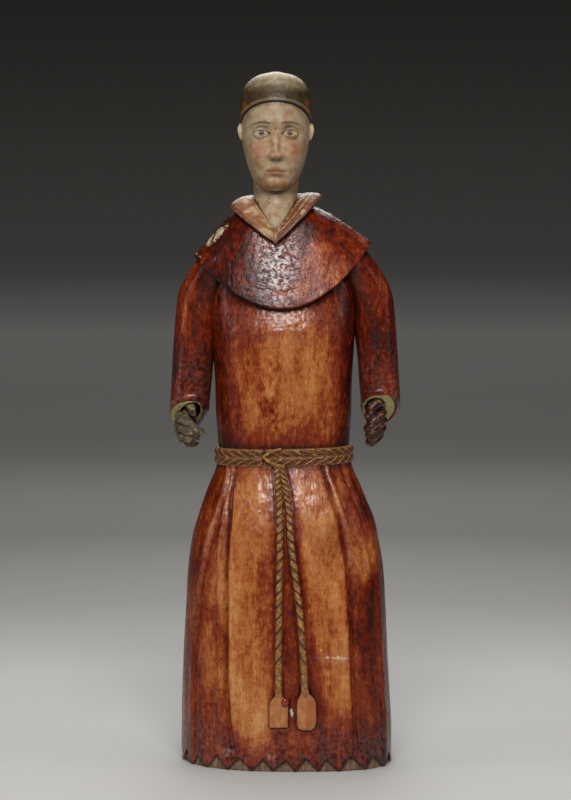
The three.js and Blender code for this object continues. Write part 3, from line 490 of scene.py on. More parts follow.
def painted(tree, surface, colour, height, distance, strength):
    """A finish's colour and its fine relief"""
    tree.links.new(colour, surface.inputs["Base Color"])
    bump = node_of(tree, "Bump", {"Height": height, "Distance": distance, "Strength": strength})
    tree.links.new(bump.outputs["Normal"], surface.inputs["Normal"])


def carried(piece, finish, node="carved_figure"):
    """The piece wears its finish, stands for the solid and goes with the whole figure"""
    piece.data.materials.clear()
    piece.data.materials.append(finish)
    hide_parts(node)
    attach(piece, "root")


# The glaze over the wood, from rubbed bare to thickest
GLAZE = [
    (0.0, 190, 136, 82), (0.16, 177, 112, 62), (0.34, 160, 89, 42), (0.52, 130, 54, 21),
    (0.7, 104, 31, 10), (0.85, 74, 19, 7), (1.0, 48, 13, 7),
]

habit_paint, tree, surface = finish_of("red_brown_habit_paint", 0.34, coat_roughness=0.15, shine=0.24)
broad = mottle(tree, 30, 0.25, 0.75, tall=2.2, seed=1.0)
spots = mottle(tree, 9, 0.25, 0.75, tall=3.2, detail=5, seed=2.0)
grain = mottle(tree, 1.3, 0.25, 0.75, tall=30, seed=3.0)
blots = mottle(tree, 4.2, tall=1.4, detail=6, seed=9.0)
fine = mottle(tree, 1.3, tall=1.6, detail=4, seed=4.0)
specks = mottle(tree, 2.0, 0.6, 0.7, tall=1.3, seed=5.0)
scuffs = mottle(tree, 2.4, 0.6, 0.7, tall=3, detail=5, seed=6.0)
thickness = mark(tree, "coat")
for pattern, amount in [(broad, 0.16), (spots, 0.26), (grain, 0.13), (blots, 0.2), (fine, 0.16)]:
    thickness = swung(tree, pattern, amount, thickness)
thickness = reckon(tree, "MULTIPLY_ADD", specks, 0.1, thickness)
thickness = reckon(tree, "MULTIPLY_ADD", scuffs, -0.14, thickness)
# The pale veil is a painted sheen over the glossy varnish; the same pattern sets the coat's weight
painted_sheen_and_coat = reckon(tree, "MULTIPLY", mark(tree, "gloss_and_painted_sheen"), mottle(tree, 3.4, 0.4, 0.62, detail=6, seed=7.0))
net = reckon(tree, "MULTIPLY", mark(tree, "thick"), cracks(tree, 2.4, 0.07))
# Over the glaze lie gesso and painted highlight, dirt and painted shade, the painted sheen, and the net of
# cracks
colour = layered(tree, graded(tree, thickness, GLAZE), [
    (196, 182, 150, rubbed(tree, "gesso_and_highlight", spots, fine, 0.6, 0.86), 1),
    (24, 11, 9, mark(tree, "dirt_and_shade"), 0.88), (190, 168, 166, painted_sheen_and_coat, 0.3), (56, 22, 20, net, 0.6),
])
rough = swung(tree, spots, 0.14, reckon(tree, "MULTIPLY_ADD", mark(tree, "gloss_and_painted_sheen"), -0.06, 0.3))
tree.links.new(swung(tree, fine, 0.1, rough), surface.inputs["Roughness"])
tree.links.new(reckon(tree, "MULTIPLY", painted_sheen_and_coat, 0.95), surface.inputs["Coat Weight"])
lumps = mottle(tree, 3.6, 0.2, 0.8, tall=1.6, detail=4, seed=8.0)
height = reckon(tree, "MULTIPLY_ADD", grain, 0.25, lumps)
painted(tree, surface, colour, reckon(tree, "MULTIPLY_ADD", net, -1.2, height), 0.0004, 0.5)
carried(skirt, habit_paint)

# The foot
# The block's own end under the hem: bare, greyed wood cut back behind the teeth, on which the
# figure stands. It was never painted, and dirt has settled in its tool cuts.

FOOT_ROWS = [
    # height, how far it is cut back
    [0, 8], [0, 3.6], [0.3, 3.0], [1.2, 2.8], [2.6, 2.8], [4.2, 2.8], [6, 2.8], [8, 2.8], [10, 2.8],
    [12, 3.0], [14, 4], [14, 9],
]
z, cut_back = np.array(FOOT_ROWS).T[..., None]
x, y, out_x, out_y, length = habit_ring(0, shares)
relief = 0.35 * drift(length, 0, z, (6, 1, 9), 21) * (z > 0.5) - cut_back
foot_place = np.stack([x + out_x * relief, y + out_y * relief, z + 0 * relief], -1)
foot = rolled("bare_foot_of_the_block", foot_place, close=True)

bare_wood, tree, surface = finish_of("greyed_bare_wood", 0.7)
year_rings = mottle(tree, 2.2, tall=9, seed=11.0)
colour = layered(tree, tint(140, 112, 88), [
    (98, 72, 54, year_rings, 1), (66, 46, 36, mottle(tree, 12, 0.35, 0.65, seed=12.0), 0.5),
])
painted(tree, surface, colour, year_rings, 0.0004, 0.6)
carried(foot, bare_wood)

# The body of the habit
# The chest and back between belt and cape: one smooth swelling form with hardly a fold, where
# hands have rubbed the paint through to the wood and varnish has run down in a dark streak.

CAPE_CENTRE = -2.2
CAPE_EDGE = 396
UNDERCUT = 2.9


def cape_edge_height(x, back):
    rise = np.where(x < CAPE_CENTRE, 0.0074, 0.0094)
    return CAPE_EDGE + 8 * back + rise * (x - CAPE_CENTRE) ** 2


heights = np.linspace(WAIST - 3, 446, 190)
x, y, out_x, out_y, length = habit_rings(heights, front_heavy(37, 209))
z = np.broadcast_to(heights[:, None], x.shape)
front = ease(-y, 2, 22)
relief = 0.8 * tool_marks(x, y, z, 31)
chest = front * patch(x, z, (-3, 384), (42, 24), 0, 0.6)
relief += 0.34 * chest * np.abs(drift(x, 0, z, (7, 1, 3.4), 36))
relief += 0.15 * chest * drift(x, 0, z, (2.2, 1, 1.7), 37)
relief -= UNDERCUT * front * ease(z, 372, 402) * ease(-np.abs(x + 3), -58, -30)
rubbed_bare = front * np.maximum.reduce([
    patch(x, z, (2, 342), (32, 54), 0, 0.8), 0.9 * patch(x, z, (22, 346), (22, 46), -6, 0.8),
    0.7 * patch(x, z, (-26, 330), (16, 44), 4, 0.9), 0.5 * patch(x, z, (34, 300), (16, 24), 0, 0.8),
])
coat = 0.67 - 0.39 * rubbed_bare + 0.08 * ease(x, 26, 44)
drip = away_from(x, z, [[-6, 392], [-8, 372], [-9, 352]])
coat += 0.1 * front * swell(drip, 11) * ease(z, 338, 372)
streak = swell(away_from(x, z, [[-8, 384], [-9, 352], [-15, 332], [-11, 306], [-8, 288]]), 6)
broken = ease(drift(x, 0, z, (2.6, 1, 4), 32), -0.2, 0.5)
coat += 0.3 * front * streak * broken * ease(-z, -366, -348)
coat += 0.3 * front * patch(x, z, (-15, 310), (6, 8), 20, 0.8)
coat += 0.14 * ease(np.abs(x + 2), 40, 56) + 0.12 * front * ease(-z, -292, -276)
coat -= 0.22 * ease(y, 5, 25) * patch(x, z, (4, 350), (38, 40), 0, 0.8)
coat += 0.08 * drift(x, y, z, (26, 26, 50), 34) + 0.06 * drift(x, y, z, (9, 9, 22), 35)
# Painted shade under the cape's edge and just above the belt
under_cape = swell(z - cape_edge_height(x, ease(y, 0, 40)) + 0.5, 2.0)
# Two flight holes of insects by the right armpit, painted dark as the shade inside them
holes = np.minimum(
    np.hypot((x + 57.5) / 1.6, (z - 404) / 4.2), np.hypot((x + 62.5) / 1.6, (z - 419) / 2)
)
dirt_and_shade = np.maximum.reduce([
    0.95 * under_cape, 0.75 * swell(z - WAIST - 8.5, 2.6), (y < 0) * ease(-holes, -1.2, -0.6),
])
# The gloss band under the cape also paints a pale sheen there
body = rolled("body_of_the_habit", np.stack([x + out_x * relief, y + out_y * relief, z], -1), {
    "coat": coat, "dirt_and_shade": dirt_and_shade, "gloss_and_painted_sheen": 0.45 * front * patch(x, z, (-3, 387), (38, 18), 0, 0.8),
}, close=True)
carried(body, habit_paint)

# The sleeves and their cuffs
# Carved close against the body with a narrow slot between, each cut off slantwise at the cuff.
# The cut face shows bare yellow wood, with a deep socket in it for the wrist.

SLEEVE_OUTLINES = [
    # height, outside, inside, half depth, shift to the back
    [268, 99, 69, 20.5, -6], [290, 100, 67, 21, -5], [310, 100, 65.6, 21.5, -4], [332, 98.9, 63.6, 22, -3],
    [350, 98, 62.4, 22.5, -2], [370, 96.7, 60, 23.5, -1], [390, 95, 57, 24.5, 0], [403, 93.5, 54, 26, 0],
    [413, 90.8, 50, 28, 0], [423, 86, 46, 30, 0], [431, 81, 42, 31.5, 0], [438, 76, 38, 31, 0],
    [447, 68.5, 34, 28.5, 0], [457, 56, 30, 20, 0],
]
SLEEVE_TOP = 457
SLEEVE_SQUARE = 0.88
CUFF_SLANT = math.radians(34)
WRIST_LEAN = math.radians(45)
WELL_DEPTHS = [10.4, 7, 3.5, 1]
# How often the slanting cut is fitted to the sleeve's own depth
CUT_ROUNDS = 6
# For each arm its side, the height of the cut and the sleeve's shift sideways, then the socket's shift
# inwards and ahead, its half sizes across and along, and its lean. Last comes the painted share of the
# cut where the sleeve turns over, below nought for a sleeve that turns over at its inner side.
ARMS = {
    "right": dict(
        side=-1, cut=301, shift=-0.6, inwards=0.2, ahead=5.5, across=8.8, along=19, lean=0.22, turned=-0.72
    ),
    "left": dict(
        side=1, cut=306.5, shift=0.4, inwards=5.2, ahead=4.4, across=8.6, along=16.6, lean=0, turned=0.3
    ),
}


def rounded(value, power):
    return np.sign(value) * np.abs(value) ** power


def outward(place):
    """Way out of a rolled grid at each point, or into it, as its rows run"""
    along = np.gradient(place, axis=0)
    around = np.gradient(place, axis=1)
    around[:, 0] = around[:, -1] = place[:, 1] - place[:, -2]
    way = np.cross(around, along)
    return way / np.maximum(np.linalg.norm(way, axis=-1, keepdims=True), 1e-9)


def away_through(place, middle):
    """Way out of a rolled grid, away from a point or a line of points inside it"""
    way = outward(place)
    return way * np.sign(((place - middle) * way).sum(-1).mean())


def cuff_ways(arm, lean):
    """Middle of a cuff, and the ways towards the body, forward and out of the sleeve"""
    outside, inside, depth, back = between(SLEEVE_OUTLINES, arm["cut"])
    inwards = np.array([-arm["side"], 0.0, 0.0])
    middle = np.array([arm["side"] * (outside + inside) / 2 + arm["shift"], back, arm["cut"]])
    forward = np.array([0, -math.cos(lean), math.sin(lean)])
    out = np.array([0, -math.sin(lean), -math.cos(lean)])
    return middle + inwards * arm["inwards"], inwards, forward, out


def make_sleeve(which, seed, paint_seed):
    arm = ARMS[which]
    around = np.linspace(0, 2 * np.pi, 131)
    parts = np.concatenate([np.linspace(0, 0.06, 12), np.linspace(0.06, 1, 132)[1:]])[:, None]
    middle, inwards, forward, out = cuff_ways(arm, CUFF_SLANT)
    cos, sin = rounded(np.cos(around), SLEEVE_SQUARE), rounded(np.sin(around), SLEEVE_SQUARE)
    cut = np.full(around.shape, float(arm["cut"]))
    for _ in range(CUT_ROUNDS):
        outside, inside, depth, back = between(SLEEVE_OUTLINES, cut)
        cut = middle[2] - math.tan(CUFF_SLANT) * (back + sin * depth - middle[1])
    turned = ease(arm["side"] * cos * np.sign(arm["turned"]), 0.05, 0.85)
    cut = cut + 3 * turned
    z = blend(cut, SLEEVE_TOP, parts)
    outside, inside, depth, back = between(SLEEVE_OUTLINES, z)
    x = arm["side"] * (outside + inside) / 2 + arm["shift"] + cos * (outside - inside) / 2
    y = back + sin * depth
    y = np.where(y > 0, y * (1 - 0.34 * ease(z, 416, 440)), y)
    above_cut = z - cut
    relief = 0.3 * drift(x, y, z, (9, 9, 50), seed) + 0.15 * drift(x, y, z, (4, 4, 14), seed + 1)
    if which == "right":
        stroke = swell(above_cut - 4.6, 1.2)
        relief += 0.6 * stroke - 0.35 * swell(above_cut - 6.4, 0.8) - 1.1 * (1 - ease(above_cut, 0, 3))
    else:
        waves = np.sin(above_cut * 1.9 + 1.6 * drift(x, 0, z, (14, 1, 9), seed))
        near_cut = 1 - ease(above_cut, 10, 22)
        stroke = ease(waves, 0.1, 0.9) * near_cut * ease(drift(x, 0, z, (7, 1, 3), seed + 2), -0.5, 0.4)
        relief += 0.12 * waves * near_cut + 0.8 * swell(above_cut - 2, 3)
        relief -= 0.9 * (1 - ease(above_cut, 0, 1.5))
    relief -= 1.6 * turned * (1 - ease(above_cut, 0, 7))
    place = np.stack([x, y, z], -1)
    place = place + away_through(place, place.mean(1, keepdims=True)) * relief[..., None]

    rim = place[0]
    bearing = np.arctan2((rim - middle) @ forward, (rim - middle) @ inwards)
    cos, sin = np.cos(bearing), np.sin(bearing)
    reach = 1 / np.hypot(cos / arm["across"], sin / arm["along"])
    sideways = (cos + arm["lean"] * sin) * reach + 0.5 * drift(bearing * 4, 0, 0, (1, 1, 1), seed)
    mouth = middle + sideways[:, None] * inwards + (sin * reach + arm["ahead"])[:, None] * forward
    lip = 0.02 + (abs(arm["turned"]) - 0.02) * turned[:, None]
    face = [blend(mouth, rim, part * (1 - lip)) for part in (0, 0.15, 0.35, 0.6, 0.8, 0.93, 1)]
    face = [row + 0.25 * out * drift(*row.T, (5, 5, 5), seed)[:, None] for row in face]
    bevel = [
        blend(mouth, rim, 1 - lip * (1 - part)) + 1.3 * math.sin(math.pi * part) * turned[:, None] * out
        for part in (0.04, 0.2, 0.4, 0.6, 0.8, 0.95)
    ]
    well = [mouth - cuff_ways(arm, WRIST_LEAN)[3] * down for down in WELL_DEPTHS]
    rows = np.concatenate([well, face, bevel, place])

    is_cut = np.zeros((len(rows), 1))
    is_cut[:len(well) + len(face)] = 1
    strokes = np.zeros(rows.shape[:2])
    strokes[-len(place):] = stroke
    # The socket and the first row of the cut face are painted dark as their shade
    dirt_and_shade = np.zeros((len(rows), 1))
    dirt_and_shade[:len(well)] = 0.95
    dirt_and_shade[len(well)] = 0.6
    x, y, z = np.moveaxis(rows, -1, 0)
    # Painted shade in the slot beside the body and under the cape's edge
    under_cape = swell(z - cape_edge_height(x, ease(y, 0, 40)) + 0.5, 2.0)
    shaded = np.maximum(ease(-np.abs(x), -66, -58), under_cape)
    coat = 0.8 + 0.12 * drift(x, y, z, (14, 14, 40), paint_seed)
    coat += 0.08 * drift(x, y, z, (5, 5, 12), paint_seed + 2)
    coat -= 0.1 * swell(np.abs(x) - 88, 7) * ease(-y, 5, 20) + 0.16 * strokes
    # The gloss on the lower sleeves also paints a faint sheen
    return rolled(which + "_sleeve", rows, {
        "coat": coat, "dirt_and_shade": np.maximum(dirt_and_shade, 0.9 * shaded * (1 - is_cut)), "gesso_and_highlight": 0.5 * strokes,
        "cut": is_cut, "gloss_and_painted_sheen": 0.2 * ease(-z, -384, -336) * (1 - is_cut),
    }, close=True)


cut_wood, tree, surface = finish_of("yellow_cut_wood", 0.6)
grain = mottle(tree, 2.0, tall=0.25, seed=15.0)
colour = layered(tree, tint(198, 188, 124), [
    (166, 152, 92, grain, 1), (96, 78, 44, mottle(tree, 6, 0.5, 0.75, seed=16.0), 0.5),
    # Painted shade: the socket is darkened in the colour
    (20, 14, 10, mark(tree, "dirt_and_shade"), 1),
])
painted(tree, surface, colour, grain, 0.0004, 0.5)
for sleeve in (make_sleeve("right", 41, 45), make_sleeve("left", 46, 46)):
    carried(sleeve, habit_paint)
    sleeve.data.materials.append(cut_wood)
    is_cut = np.empty(len(sleeve.data.vertices), np.float32)
    sleeve.data.attributes["cut"].data.foreach_get("value", is_cut)
    for polygon in sleeve.data.polygons:
        if is_cut[list(polygon.vertices)].mean() > 0.4:
            polygon.material_index = 1

# The short cape
# A round cape carved over the shoulders, its edge a step cut all round with an undercut below that
# is painted dark as its shade.
# The varnish stands thick and crackled on the chest; gesso shows where the shoulder is knocked.

NECK_CENTRE = -8.4
# Half width, depth at the front and depth at the back, by the neck and at the edge
CAPE_NECK = [22, 30, 22]
CAPE_FULL = [77, 52.7, 47]
CAPE_TOP = 487
CAPE_ROUND = 2 / 2.25
CAPE_LENGTH = 95
CAPE_SPLIT = [[-47.5, 436], [-46.2, 428], [-47.4, 421], [-46, 414]]
EDGE_LIFT = 1.3
# From the edge down and in under the cape: inset and drop
EDGE_STEPS = [(0.1, 0.5), (0.45, 0.95), (1.0, 1.25), (2.0, 1.3), (4.5, 1.2), (12, 0)]
UP = np.array([0, 0, 1.0])


def cape_ring(angle, share):
    """Cape at a share of the way from neck to edge, all round"""
    cos, sin = rounded(np.cos(angle), CAPE_ROUND), rounded(np.sin(angle), CAPE_ROUND)
    dip = swell(np.cos(angle), 0.5) * (sin < 0)
    ahead = blend(CAPE_NECK[1] + 6 * dip, CAPE_FULL[1], share**0.95)
    behind = blend(CAPE_NECK[2], CAPE_FULL[2], share**0.9)
    x = blend(NECK_CENTRE, CAPE_CENTRE, share) + cos * blend(CAPE_NECK[0], CAPE_FULL[0], share)
    edge = cape_edge_height(CAPE_CENTRE + cos * CAPE_FULL[0], np.maximum(np.sin(angle), 0))
    z = blend(CAPE_TOP - 34 * dip, edge, share ** (1.45 - 0.35 * dip))
    return np.stack([x, sin * np.where(sin < 0, ahead, behind), z], -1)


angle = np.pi / 2 + 2 * np.pi * front_heavy(46, 261, 0.25)
share_rows = np.concatenate([np.linspace(0, 0.9, 142), np.linspace(0.9, 1, 19)[1:]])[:, None]
cape_top = cape_ring(angle, share_rows)
x, y, z = np.moveaxis(cape_top, -1, 0)
relief = 0.34 * drift(x, y, z, (15, 15, 12), 51) + 0.16 * drift(x, y, z, (5, 5, 4.5), 52)
blisters = 0.12 * drift(x, y, z, (3.4, 3.4, 3.4), 56) + 0.17 * drift(x, y, z, (1.3, 1.3, 1.2), 57)
relief += (y < 0) * patch(x, z, (-6, 430), (24, 36), 4, 0.6) * blisters
relief += 0.25 * ease(share_rows, 0.93, 0.99) * drift(x, y, 0, (13, 13, 1), 53)
relief -= 0.25 * swell(away_from(x, z, CAPE_SPLIT) + 9 * (y > 0), 0.7)
relief -= 0.5 * (y < 5) * patch(x, z, (-60.8, 456.6), (14, 3.6), 42, 0.4)
cape_top = cape_top + away_through(cape_top, cape_top[-1].mean(0)) * relief[..., None]
cape_top += EDGE_LIFT * ease(share_rows, 0.8, 1)[..., None] * UP
edge_out = np.stack([np.cos(angle), np.sin(angle), 0 * angle], -1)
edge_rows = [cape_top[-1] - edge_out * inset - UP * drop for inset, drop in EDGE_STEPS]
cape_place = np.concatenate([cape_top, edge_rows])

x, y, z = np.moveaxis(cape_place, -1, 0)
near_edge = np.concatenate([(1 - share_rows) * CAPE_LENGTH, np.zeros((len(edge_rows), 1))])
front = ease(-y, 0, 18)
rubbed_bare = front * np.maximum.reduce([
    patch(x, z, (36, 432), (15, 28), 28, 0.8), 0.85 * patch(x, z, (20, 412), (28, 9), 8, 0.8),
    0.7 * patch(x, z, (54, 424), (12, 12), 0, 0.8),
    0.8 * swell(near_edge - 1, 5) * ease(x, -20, -6) * (1 - ease(x, 34, 46)),
])
coat = 0.81 - 0.26 * rubbed_bare + 0.1 * ease(-x, 16, 44)
coat += 0.1 * drift(x, y, z, (16, 16, 14), 54) + 0.07 * drift(x, y, z, (6, 6, 5), 55)
coat -= 0.2 * ease(y, 0, 20) * patch(x, z, (30, 446), (26, 16), 0, 0.8)
coat += 0.14 * swell(near_edge - 1.2, 1.8) * (x < -14)
gesso_and_highlight = np.maximum(
    0.86 * (y < 5) * patch(x, z, (-60.8, 457.4), (14, 3.6), 42, 0.6),
    0.6 * (y < 12) * patch(x, z, (-74.6, 440.5), (6, 1.6), -40, 0.4),
)
# Painted shade along the split and over the underside of the edge, with some dirt, and a dark line by the
# left edge
dirt_and_shade = np.maximum(
    swell(away_from(x, z, CAPE_SPLIT) + 9 * (y > 0), 1.1), 0.5 * swell(near_edge - 1.2, 1.3) * (x < -14)
)
dirt_and_shade[-4:] = 1
# The gloss on the chest also paints a pale sheen where the highlight falls
cape = rolled("short_cape", cape_place, {
    "coat": coat, "dirt_and_shade": dirt_and_shade, "gesso_and_highlight": gesso_and_highlight, "gloss_and_painted_sheen": front * patch(x, z, (-7, 434), (14, 30), 3, 0.9),
    "thick": front * patch(x, z, (-7, 432), (22, 34), 4, 0.7),
}, close=True)
carried(cape, habit_paint)

# The folded collar
# Two lapels that fold outwards from the neck and meet in a point on the chest, carved thin with a
# hollow under their edge. Ochre over cream, with red-brown lines along the edges, much worn.

COLLAR_TURNS = [
    # turn from the front, inner edge x, y, z, outer edge x, y and its share of the rise
    [0, 0, -34.5, 464, 0, -41.5, 0], [20, 4, -33.5, 468.5, 9, -42, 0.2],
    [45, 10.5, -28.5, 477, 22, -37.5, 0.53], [68, 16.2, -19, 485.5, 33, -26, 0.83],
    [90, 19.8, -8, 491, 39.5, -10, 1], [125, 18, 9, 493, 34, 15, 0.98],
    [155, 10, 18, 494, 18, 29, 0.9], [180, 0, 21, 494, 0, 33, 0.86],
]
COLLAR_POINT = 455
LEFT_RISE = 38.5
RIGHT_RISE = 29.5
# Round the thin outer edge: how far out and down
COLLAR_EDGE = [(-0.2, 0.25), (0.25, 0.9), (0.4, 1.6), (0.2, 2.5), (-0.4, 3.2), (-1.6, 3.7)]

turn = np.linspace(180, -180, 361)
side = np.where(turn >= 0, 1, -1)
inner_x, inner_y, inner_z, outer_x, outer_y, rise_share = between(COLLAR_TURNS, np.abs(turn))
behind = np.clip(np.abs(turn) / 90 - 1, 0, 1)
rise = blend(np.where(turn >= 0, LEFT_RISE, RIGHT_RISE), (LEFT_RISE + RIGHT_RISE) / 2, behind)
inner = np.stack([NECK_CENTRE + side * inner_x, inner_y, inner_z], -1)
outer = np.stack([NECK_CENTRE + side * outer_x, outer_y, COLLAR_POINT + rise * rise_share], -1)
root = blend(inner, np.stack([np.full(turn.shape, NECK_CENTRE), 0 * turn, inner_z - 4], -1), 0.45)
across_way = (outer - inner) / np.linalg.norm(outer - inner, axis=-1, keepdims=True)
collar_rows = [root, blend(root, inner, 0.5), blend(root, inner, 0.85), inner - 0.2 * UP]
across_parts = np.linspace(0.03, 0.97, 34)
for part in across_parts:
    lift = (1.2 + 1.9 * ease(np.abs(turn), 35, 75)) * math.sin(math.pi * part) ** 0.7
    collar_rows.append(blend(inner, outer, part) + UP * lift[:, None])
collar_rows += [outer + across_way * reach - UP * drop for reach, drop in COLLAR_EDGE]
collar_rows += [blend(outer, inner, 0.3) - 4 * UP, blend(outer, inner, 0.7) - 4 * UP]
collar_rows += [root - 14 * UP, root - 7 * UP, root]
collar_place = np.array(collar_rows)
x, y, z = np.moveaxis(collar_place, -1, 0)
over_top = np.concatenate([np.zeros(4), across_parts, np.full(6, 1.02), np.zeros(5)])[:, None]
is_top = np.concatenate([np.zeros(4), np.ones(34), np.full(6, 0.8), np.zeros(5)])[:, None]
groove_lines = is_top * np.maximum(
    (turn > 2) * (swell(over_top - 0.5, 0.045) + swell(over_top - 0.66, 0.04)),
    (turn < -2) * 0.6 * swell(over_top - 0.2, 0.05),
)
collar_place[..., 2] += 0.25 * is_top * drift(x, y, z, (5, 5, 5), 61)
collar_place[..., 2] -= 1.4 * swell(turn, 2.6) * is_top + 0.45 * groove_lines
cream = is_top * np.maximum.reduce([
    (turn < 0) * ease(-over_top, -0.72, -0.4) * ease(drift(x, y, z, (6, 6, 6), 62), -0.5, 0.3),
    (turn < 0) * patch(x, z, (-17, 460), (7, 5), -30),
    0.8 * ease(drift(x, y, z, (5, 5, 5), 63), 0.3, 0.8),
    0.8 * (swell(over_top - 0.58, 0.05) + 0.6 * swell(over_top - 0.2, 0.09)) * (turn > 2),
    0.9 * swell(turn, 1.6) * ease(z, 452, 456),
])
red_line = (turn < 0) * (swell(over_top - 0.07, 0.03) + swell(over_top - 0.2, 0.03))
red_line += (turn > 2) * (swell(over_top - 0.5, 0.04) + swell(over_top - 0.7, 0.035))
red_line = is_top * np.maximum(red_line, 0.7 * swell(over_top - 0.97, 0.04))
reddish = np.maximum(0.8 * patch(x, z, (-47, 480), (9, 9), 0, 0.8), 0.9 * (turn > 3))
# The underside and the notch at the point are painted dark as their shade
collar = rolled("folded_collar", collar_place, {
    "cream": cream, "line": np.clip(red_line, 0, 1),
    "reddish": np.maximum(reddish, 0.5 * ease(over_top, 0.8, 1.0)),
    "dirt_and_shade": np.maximum(1 - is_top, 0.7 * swell(turn, 1.2) * ease(over_top, 0.7, 1)),
})

collar_paint, tree, surface = finish_of("ochre_and_cream_collar_paint", 0.36, coat=0.1)
spots = mottle(tree, 5, seed=22.0)
fine = mottle(tree, 1.2, 0.35, 0.65, seed=23.0)
worn_line = reckon(tree, "MULTIPLY", mark(tree, "line"), leveled(tree, fine, 0, 1, 0.5, 1))
colour = layered(tree, tint(150, 94, 46), [
    (118, 66, 32, spots, 1), (96, 50, 28, rubbed(tree, "reddish", spots, fine, 0.1, 0.9), 0.75),
    (190, 164, 124, rubbed(tree, "cream", spots, fine, 0.05, 0.95), 0.85),
    # Dirt and painted shade in the notch and under the lapels
    (98, 40, 24, worn_line, 1), (26, 14, 10, mark(tree, "dirt_and_shade"), 0.85),
])
painted(tree, surface, colour, reckon(tree, "MULTIPLY_ADD", fine, 0.6, spots), 0.0006, 0.7)
carried(collar, collar_paint)

# The neck and the head
# One round neck and a long oval head, gessoed and painted a pale flesh colour, with the brows, the
# lids, the eyes and the lips drawn with a fine brush. The paint has yellowed and rubbed to tan.

HEAD_OUTLINES = [
    # height, half width, half depth at the front and at the back
    [497, 9, 27, 12], [501, 15.5, 32.5, 18], [507, 19.5, 33.8, 22], [515, 23, 34, 26], [525, 26.2, 34.4, 31],
    [536, 28.6, 34.8, 35], [548, 29.5, 35.4, 37], [560, 29.5, 36, 37.5], [572, 28.8, 34.8, 36.5],
    [582, 26.8, 31.5, 33.5], [590, 21.5, 25, 27], [595.5, 12.5, 15, 16], [597.8, 1, 1.2, 1.2],
]
CHIN = 497
CROWN = 597.8
HEAD_ROUND = 2 / 2.15
HEAD_BACK = -1
EYE_HEIGHT = 546
EYE_APART = 12.2
NOSE_BASE = 524
MOUTH = 513.8
NECK_OUTLINES = [
    # height, half width, half depth at the front and at the back, shift to the back
    [452, 20, 22, 20, -4], [463, 22, 29.5, 21, -4], [475, 22, 26.5, 20, -3.5], [487, 19.3, 20.5, 19, -2.5],
    [500, 19.3, 19, 19, -1], [512, 20, 20, 20, 0],
]
NOSE_OUTLINES = [
    # height above its base, half width of the ridge, its depth, half width of the root
    [-1.8, 1.0, -35.5, 3.4], [-0.4, 2.2, -40.2, 5.2], [1.4, 2.9, -42.4, 6.2], [3.6, 2.7, -42.8, 6.0],
    [8, 1.9, -40.6, 4.8], [15, 1.5, -38.1, 3.9], [22, 1.7, -36.2, 3.9], [27, 2.4, -35.2, 5],
    [31, 3, -34.6, 6],
]


def head_point(height, angle, relief=0):
    """Head without its features, about its own upright axis"""
    half_width, front, back = between(HEAD_OUTLINES, height)
    x = rounded(np.cos(angle), HEAD_ROUND) * (half_width + relief)
    y = rounded(np.sin(angle), HEAD_ROUND) * (np.where(np.sin(angle) < 0, front, back) + relief)
    return x, HEAD_BACK + y


angle = np.linspace(0, 2 * np.pi, 161) + np.pi / 2
heights = np.linspace(452, 512, 84)[:, None]
across, ahead, behind, back = between(NECK_OUTLINES, heights)
x = NECK_CENTRE + np.cos(angle) * across
y = back + np.sin(angle) * np.where(np.sin(angle) < 0, ahead, behind)
z = np.broadcast_to(heights, x.shape)
front = ease(-y, 2, 12)
chip = front * swell(np.hypot((x + 14.6) * 1.2, (z - 488.4) * 0.8) - 1.7 - 0.5 * np.sin(z * 1.3), 0.7)
chip = chip * ease(drift(x, 0, z, (1.6, 1, 1.6), 75), -0.5, 0.1)
dent = 0.25 * drift(x, y, z, (8, 8, 8), 71) - 0.5 * chip
# Painted shade under the chin and where the neck goes into the collar
neck = rolled("neck", np.stack([x + np.cos(angle) * dent, y + np.sin(angle) * dent, z], -1), {
    "rub": 0.6 * ease(drift(x, y, z, (7, 7, 9), 72), -0.1, 0.6), "line": 0.85 * chip,
    "dirt_and_shade": 0.7 * swell(z - 497, 4) * front + 0.8 * swell(z - 462, 6),
}, close=True)

angle = np.radians(np.concatenate([
    np.linspace(90, 186, 52)[:-1], np.linspace(186, 354, 221)[:-1], np.linspace(354, 450, 52),
]))
heights = np.concatenate([
    np.linspace(CHIN, 500.5, 9)[:-1], np.linspace(500.5, 574, 218)[:-1], np.linspace(574, CROWN, 22),
])[:, None]
x, y = head_point(heights, angle)
z = np.broadcast_to(heights, x.shape)
facing = (np.sin(angle) < 0) * np.abs(np.sin(angle)) ** 0.7
aside = np.abs(x)
eye_x, eye_z = aside - EYE_APART, z - EYE_HEIGHT
lip_line = MOUTH + 0.35 * np.cos(aside * 0.45) - 0.35
upper_lip = swell(z - lip_line - 1.9 - 0.35 * swell(aside - 1.8, 1.6), 1.25)
upper_lip = upper_lip * swell(aside, 8) * (aside < 11)
lower_lip = swell(aside, 6.8) * swell(z - lip_line + 2.2, 1.6)
carved = 1.8 * upper_lip + 2.0 * lower_lip - 0.9 * swell(z - lip_line, 0.45) * swell(aside, 8.5)
# Eye sockets, brow, cheeks, round of the mouth, chin and the hollow over it, groove under the nose
for amount, sideways, width, height, tall in [
    (-4, EYE_APART, 9, EYE_HEIGHT, 6), (1.6, 11, 11, EYE_HEIGHT + 9, 4), (1.3, 15, 8, 530, 8),
    (1.4, 0, 10, MOUTH, 8), (1.7, 0, 8, 502.5, 4.5), (-1.4, 0, 9, MOUTH - 6.2, 2),
    (-0.7, 0, 1.1, 519, 2.6), (0.5, 2.1, 0.9, 519, 2.6),
]:
    carved += amount * swell(aside - sideways, width) * swell(z - height, tall)
face_y = y - carved * facing

